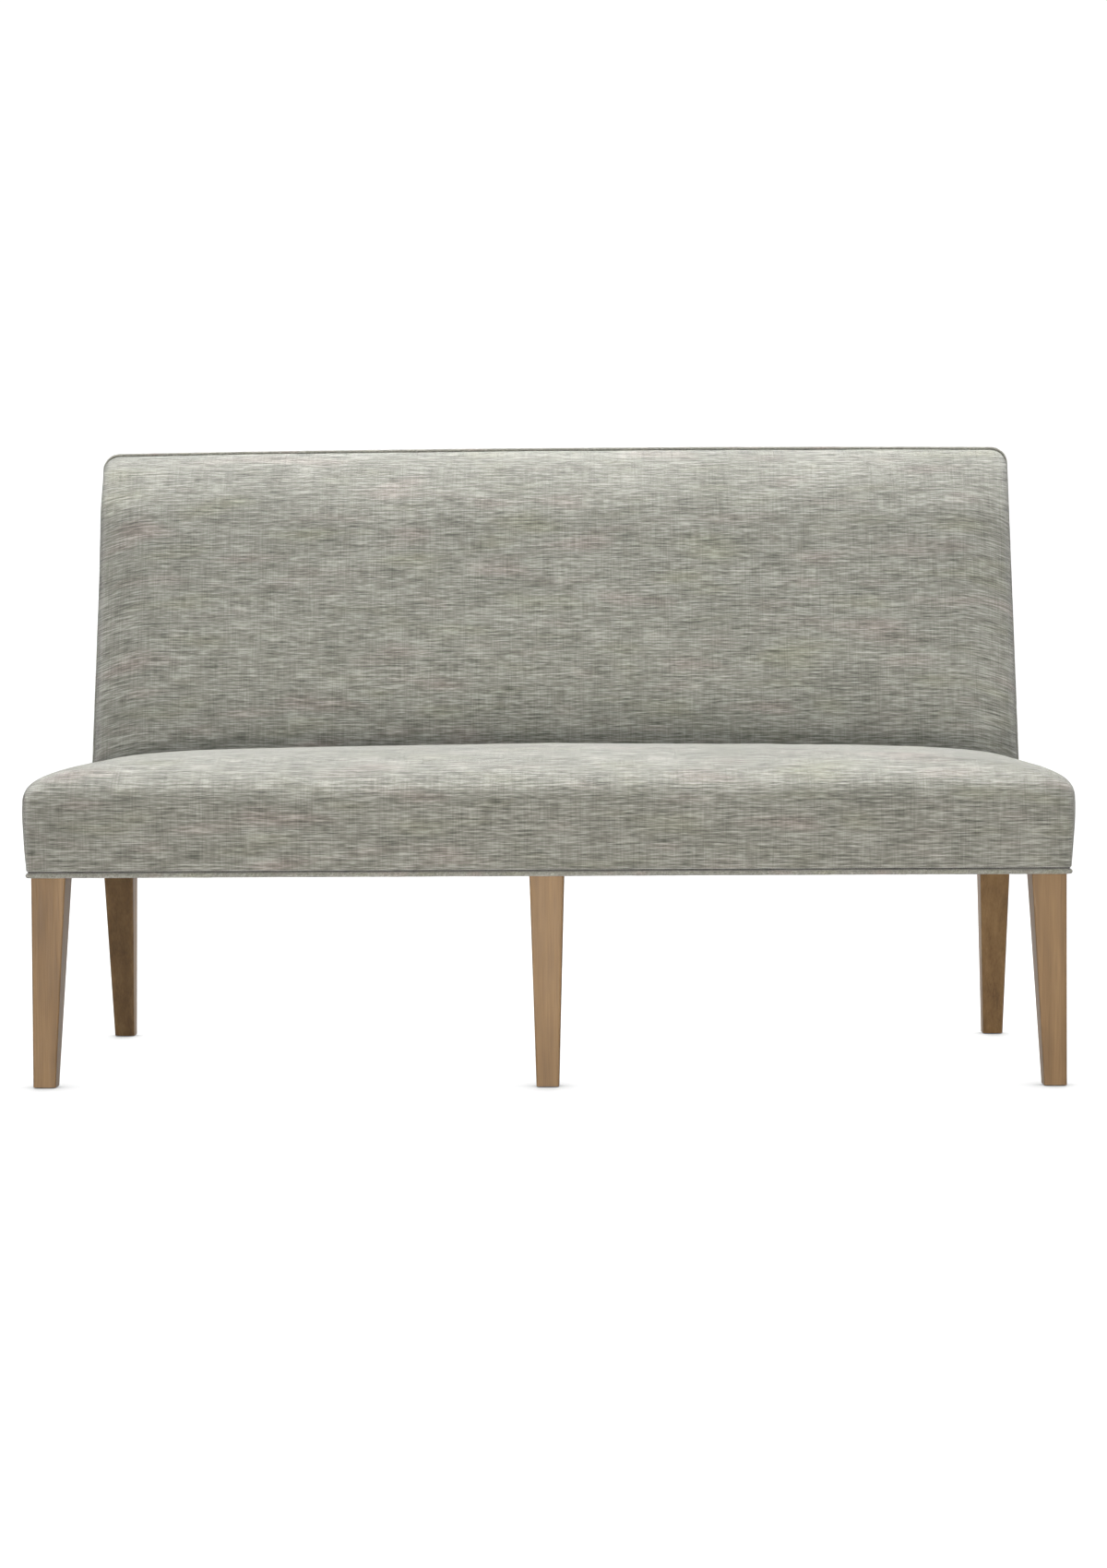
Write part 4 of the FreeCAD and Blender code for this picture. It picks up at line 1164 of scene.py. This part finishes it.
    def _outside(self) -> None:
        """Make the plain cloth over the rear."""
        mesh = bmesh.new()
        rows, straight = self.outside_rows, self.outside_straight
        top = self.top - self.outside_off
        bmesh.ops.create_grid(mesh, x_segments=self.outside_columns, y_segments=rows, size=0.5)
        cloth = mesh.loops.layers.uv.new(CLOTH_MAP)
        for vert in mesh.verts:
            row = round((vert.co.y + 0.5) * rows)
            turn = 0.5 * math.pi * max(row - straight, 0) / (rows - straight)
            level = self.hem + min(row / straight, 1.0) * (top - self.corner - self.hem)
            level += self.corner * math.sin(turn)
            half = self.half - self.corner * (1.0 - math.cos(turn))
            across = 2.0 * vert.co.x * half
            inside = min(half - abs(across), top - level, level - self.hem)
            turned = self.turned_in * (1.0 - smooth(0.0, self.turned_band, inside))
            spot = Vector((across * self.slack_scale, level * self.slack_scale, self.slack_slice))
            slack = self.slack * noise.noise(spot) * smooth(0.0, self.slack_band, inside)
            vert.co = Vector((across, self._rear_at(level) + self.outside_off - turned + slack, level))
        across, up = self.outside_map
        for face in mesh.faces:
            for loop in face.loops:
                loop[cloth].uv = (loop.vert.co.x + across, loop.vert.co.z + up)
        bmesh.ops.recalc_face_normals(mesh, faces=mesh.faces)
        if sum(face.normal.y for face in mesh.faces) < 0.0:
            bmesh.ops.reverse_faces(mesh, faces=mesh.faces)
        bmesh.ops.solidify(mesh, geom=mesh.faces[:], thickness=self.outside_thick)
        self.arch(mesh)
        piece = new_piece("outside_back_cloth", "outside_back_cover", mesh, self.cloth)
        2.0 * self.half
        top - self.hem


@dataclass
class Piping:
    """A cord in a sewn sleeve of the cover's cloth, laid along runs and round turns."""

    name: str
    node: str
    cloth: Material
    radius: float
    sides: int = 14
    turn_steps: int = 8
    run_step: float = 0.012
    weld: float = 0.0002
    pucker: float = 0.00025
    pucker_scale: float = 120.0

    def build(self, start: Vector, heading: Vector, up: Vector, path: Iterable[Pair],
              closed: bool, shape: Callable[[BMesh], None] | None = None) -> None:
        """Lay the piping.

        Args:
            start: The middle of its first end.
            heading: The way that it sets out.
            up: The axis that it turns round, to the left for a right-hand turn.
            path: For each run its length, then the radius of the quarter turn after it, or 0.
            closed: Whether it comes back to its start.
            shape: A last shaping of the laid mesh, if any.
        """
        mesh = bmesh.new()
        bmesh.ops.create_circle(mesh, segments=self.sides, radius=self.radius)
        frame = Matrix((heading.cross(up), up, -heading)).transposed().to_4x4()
        bmesh.ops.transform(mesh, matrix=Matrix.Translation(start) @ frame, verts=mesh.verts)
        front = mesh.edges[:]
        spot = start.copy()
        for length, radius in path:
            steps = max(round(length / self.run_step), 1)
            for _ in range(steps):
                grown = bmesh.ops.extrude_edge_only(mesh, edges=front)["geom"]
                front = [item for item in grown if isinstance(item, BMEdge)]
                verts = [item for item in grown if isinstance(item, BMVert)]
                bmesh.ops.translate(mesh, verts=verts, vec=heading * (length / steps))
            spot += heading * length
            if radius > 0.0:
                inward = up.cross(heading)
                center = spot + inward * radius
                ends = {vert for edge in front for vert in edge.verts}
                spun = bmesh.ops.spin(mesh, geom=[*ends, *front], cent=center, axis=up,
                                      angle=0.5 * math.pi, steps=self.turn_steps)
                front = [item for item in spun["geom_last"] if isinstance(item, BMEdge)]
                spot = center + heading * radius
                heading = inward
        bmesh.ops.remove_doubles(mesh, verts=mesh.verts, dist=self.weld)
        if not closed:
            fill_holes(mesh)
        bmesh.ops.recalc_face_normals(mesh, faces=mesh.faces)
        mesh.normal_update()
        for vert in mesh.verts:
            vert.co += vert.normal * self.pucker * noise.noise(vert.co * self.pucker_scale)
        if shape is not None:
            shape(mesh)
        new_piece(self.name, self.node, mesh, self.cloth)


def lay_seat_piping(cloth: Material) -> None:
    """Lay the closed piping under the seat.

    Args:
        cloth: The bias-cut cloth.
    """
    low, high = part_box("seat_welt")
    core, radius, turn, lift = 0.0030, 0.0038, 0.006, 0.0016
    half = 0.5 * (high.x - low.x) - core
    deep = (high.y - low.y - 2.0 * core - 2.0 * turn, turn)
    start = Vector((0.0, high.y - core, 0.5 * (low.z + high.z) + lift))
    path = [(half - turn, turn), deep, (2.0 * (half - turn), turn), deep, (half - turn, 0.0)]
    Piping("seat_piping", "seat_welt", cloth, radius).build(
        start, Vector((-1.0, 0.0, 0.0)), Vector((0.0, 0.0, 1.0)), path, True)


def lay_back_piping(cloth: Material, back: Back) -> None:
    """Lay the piping in the back's seam, up one side, over the top and down the other.

    Args:
        cloth: The bias-cut cloth.
        back: The back, whose seam is followed.
    """
    radius, sunk, first = 0.0026, 0.0016, 0.0029
    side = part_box("back_welt")[1].x - radius
    climb = Vector((0.0, back.seam_rate, 1.0)).normalized()
    turn = back.corner + radius - sunk
    rise = (back.top + radius - sunk - back.seam_level) / climb.z - turn - first
    start = Vector((-side, back.seam_base, back.seam_level)) + climb * first
    axis = Vector((1.0, 0.0, 0.0)).cross(climb) * -1.0
    path = [(rise, turn), (2.0 * (side - turn), turn), (rise, 0.0)]
    Piping("back_piping", "back_welt", cloth, radius).build(start, climb, axis, path, False, back.arch)


@dataclass
class Underside:
    """The black cloth tacked under the seat frame, cut round the legs."""

    cloth: Material
    level: float = 0.3197
    sag: float = 0.0030
    sag_band: Pair = (0.02, 0.16)
    ripple: float = 0.0008
    ripple_scale: float = 7.0
    ripple_slice: float = 1.0
    thick: float = 0.0006
    cell: float = 0.022
    leg_head: float = 0.054
    leg_play: float = 0.001
    post_near: float = 0.21975
    beyond: float = 0.4

    def build(self) -> None:
        """Make the cloth."""
        low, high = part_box("dust_cover")
        wide, deep = high.x - low.x, high.y - low.y
        mesh = bmesh.new()
        columns, rows = round(wide / self.cell), round(deep / self.cell)
        bmesh.ops.create_grid(mesh, x_segments=columns, y_segments=rows, size=0.5)
        for vert in mesh.verts:
            vert.co = Vector((low.x + (vert.co.x + 0.5) * wide, low.y + (vert.co.y + 0.5) * deep, self.level))
        self._notch(mesh)
        area = sum(face.calc_area() for face in mesh.faces)
        for vert in mesh.verts:
            inside = min(vert.co.x - low.x, high.x - vert.co.x, vert.co.y - low.y, high.y - vert.co.y)
            spot = Vector((*(vert.co.xy * self.ripple_scale), self.ripple_slice))
            vert.co.z -= smooth(*self.sag_band, inside) * (self.sag + noise.noise(spot) * self.ripple)
        bmesh.ops.recalc_face_normals(mesh, faces=mesh.faces)
        bmesh.ops.solidify(mesh, geom=mesh.faces[:], thickness=self.thick)
        piece = new_piece("underside_cloth", "dust_cover", mesh, self.cloth)

    def _notch(self, mesh: BMesh) -> None:
        """Cut the cloth away round the legs.

        Args:
            mesh: The flat grid.
        """
        boxes = []
        for node in LEG_NODES:
            low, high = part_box(node)
            middle = 0.5 * (low.x + high.x)
            if node.startswith("rear"):
                reach = (self.post_near, self.beyond)
            else:
                reach = (-self.beyond, low.y + self.leg_head - self.leg_play)
            boxes.append((middle - 0.5 * self.leg_head, middle + 0.5 * self.leg_head, *reach))
        for left, right, near, far in boxes:
            for along in (left, right):
                cut(mesh, Vector((along, 0.0, 0.0)), Vector((1.0, 0.0, 0.0)))
            for along in (near, far):
                cut(mesh, Vector((0.0, along, 0.0)), Vector((0.0, 1.0, 0.0)))
        gone = []
        for face in mesh.faces:
            spot = face.calc_center_median()
            if any(left < spot.x < right and near < spot.y < far for left, right, near, far in boxes):
                gone.append(face)
        bmesh.ops.delete(mesh, geom=gone, context="FACES")


# Room


@dataclass(frozen=True)
class Lamp:
    """A softbox that the camera doesn't see."""

    name: str
    place: Triple
    target: Triple
    size: Pair
    power: float
    tint: Triple = WHITE

    def hang(self) -> None:
        """Put the lamp in its place and point it at its target."""
        data = bpy.data.lights.new(self.name, "AREA")
        data.shape = "RECTANGLE"
        data.size, data.size_y = self.size
        data.energy = self.power
        data.color = self.tint
        lamp = link(self.name, data)
        lamp.location = self.place
        lamp.rotation_euler = (Vector(self.target) - Vector(self.place)).to_track_quat("-Z", "Y").to_euler()
        lamp.visible_camera = False


@dataclass
class Studio:
    """A white room, soft lamps and the camera at the photograph's angle."""

    eye: Triple = (0.1008, -4.24065, 0.5512)
    focal_px: float = 2841.6
    image_height: int = 1700
    sensor: float = 36.0
    yaw: float = 1.314
    pitch: float = 1.422
    roll: float = 0.331
    card_size: float = 60.0
    card_paint: float = 0.05
    card_roughness: float = 0.9
    floor_glow: float = 1.00
    wall_glow: float = 1.05
    # Reach of the painted contact shadow that darkens the floor's glow round the feet
    painted_shadow_reach: float = 0.10
    painted_shadow_samples: int = 8
    wall_away: float = 25.0
    sky: float = 0.22
    lamps: tuple[Lamp, ...] = (
        Lamp("overhead_softbox", (0.14, 0.52, 4.5), (0.14, 0.1, 0.5), (5.0, 1.6), 570.0),
        Lamp("low_front_softbox", (0.55, -1.7, 0.20), (0.45, 0.0, 0.42), (3.2, 0.25), 21.0, WARM),
        Lamp("low_left_lamp", (-0.757, -3.6, 0.30), (-0.3, 0.0, 0.5), (0.16, 0.16), 62.0, WARM),
        Lamp("rear_softbox", (0.0, 4.6, 1.7), (0.0, 0.3, 0.6), (3.0, 1.8), 130.0),
    )

    def build(self) -> None:
        """Set up the room, the lamps and the camera."""
        self._card("pale_floor", Matrix.Identity(4), self.floor_glow, self.painted_shadow_reach)
        wall = Matrix.Translation((0.0, self.wall_away, 0.0)) @ Matrix.Rotation(math.radians(90.0), 4, "X")
        for side in range(4):
            turn = Matrix.Rotation(math.radians(90.0 * side), 4, "Z")
            self._card(f"pale_wall_{side + 1}", turn @ wall, self.wall_glow, 0.0)
        self._world()
        for lamp in self.lamps:
            lamp.hang()
        self._camera()
        bpy.context.scene.view_settings.view_transform = "Standard"

    def _card(self, name: str, place: Matrix, glow: float, painted_shadow_reach: float) -> None:
        """Set up a wide, softly glowing card.

        Args:
            name: Its name.
            place: Turns and moves it from level at the origin.
            glow: How strongly it glows.
            painted_shadow_reach: How far the painted soft shadow round what stands on it reaches, or 0.
        """
        mesh = bmesh.new()
        bmesh.ops.create_grid(mesh, x_segments=1, y_segments=1, size=0.5 * self.card_size, matrix=place)
        bench = NodeBench(name)
        light: Any = (*WHITE, 1.0)
        # Painted contact shadow: ambient occlusion darkens the card's glow close to what stands on it
        if painted_shadow_reach > 0.0:
            light = bench.number("ShaderNodeAmbientOcclusion", {"samples": self.painted_shadow_samples},
                                 {"Distance": painted_shadow_reach})
        material = bench.finish((*(self.card_paint,) * 3, 1.0), self.card_roughness, None, 0.0,
                                {"Emission Color": light, "Emission Strength": glow})
        card = add_object(name, mesh, material)
        card.visible_diffuse = False

    def _world(self) -> None:
        """Light the room evenly in white."""
        world = bpy.data.worlds.new("white_room")
        world.use_nodes = True
        background = world.node_tree.nodes["Background"]
        background.inputs["Color"].default_value = (*WHITE, 1.0)
        background.inputs["Strength"].default_value = self.sky
        bpy.context.scene.world = world

    def _camera(self) -> None:
        """Put the camera where the photograph was taken."""
        yaw, pitch, roll = (math.radians(angle) for angle in (self.yaw, self.pitch, self.roll))
        ahead = Vector((-math.sin(yaw) * math.cos(pitch), math.cos(yaw) * math.cos(pitch), -math.sin(pitch)))
        level = ahead.cross(Vector((0.0, 0.0, 1.0))).normalized()
        upright = level.cross(ahead)
        right = level * math.cos(roll) - upright * math.sin(roll)
        up = right.cross(ahead)
        data = bpy.data.cameras.new("camera")
        data.sensor_fit = "VERTICAL"
        data.sensor_height = self.sensor
        data.lens = self.focal_px * self.sensor / self.image_height
        camera = link("camera", data)
        turn = Matrix((right, up, -ahead)).transposed().to_4x4()
        camera.matrix_world = Matrix.Translation(self.eye) @ turn
        bpy.context.scene.camera = camera


def dress(node: Object, material: Material) -> None:
    """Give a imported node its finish.

    Args:
        node: The node's object.
        material: The finish.
    """
    node.data.materials.clear()
    node.data.materials.append(material)
    log.info("%s: %s", node.name, material.name)


def main() -> None:
    """Build every sub-assembly round the frame."""
    logging.basicConfig(level=logging.INFO, format="%(message)s")
    for leftover in list(bpy.data.objects):
        bpy.data.objects.remove(leftover, do_unlink=True)
    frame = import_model()
    Studio().build()

    cover = SlubLinen("slub_linen").material()
    bias = math.radians(45.0)
    piping = SlubLinen("slub_linen_bias", place=ClothPlace.SOLID, bias=bias, contrast=0.5).material()
    cambric = CAMBRIC.material()
    for stuff, names in ((StainedWood("stained_wood"), LEG_NODES), *HIDDEN_STUFF):
        material = stuff.material()
        for name in names:
            dress(frame["nodes"][name], material)

    back_face = BackFace()
    Seat(cover, back_face).build()
    back = Back(cover, back_face)
    back.build()
    lay_seat_piping(piping)
    lay_back_piping(piping, back)
    Underside(cambric).build()


if __name__ == "__main__":
    main()
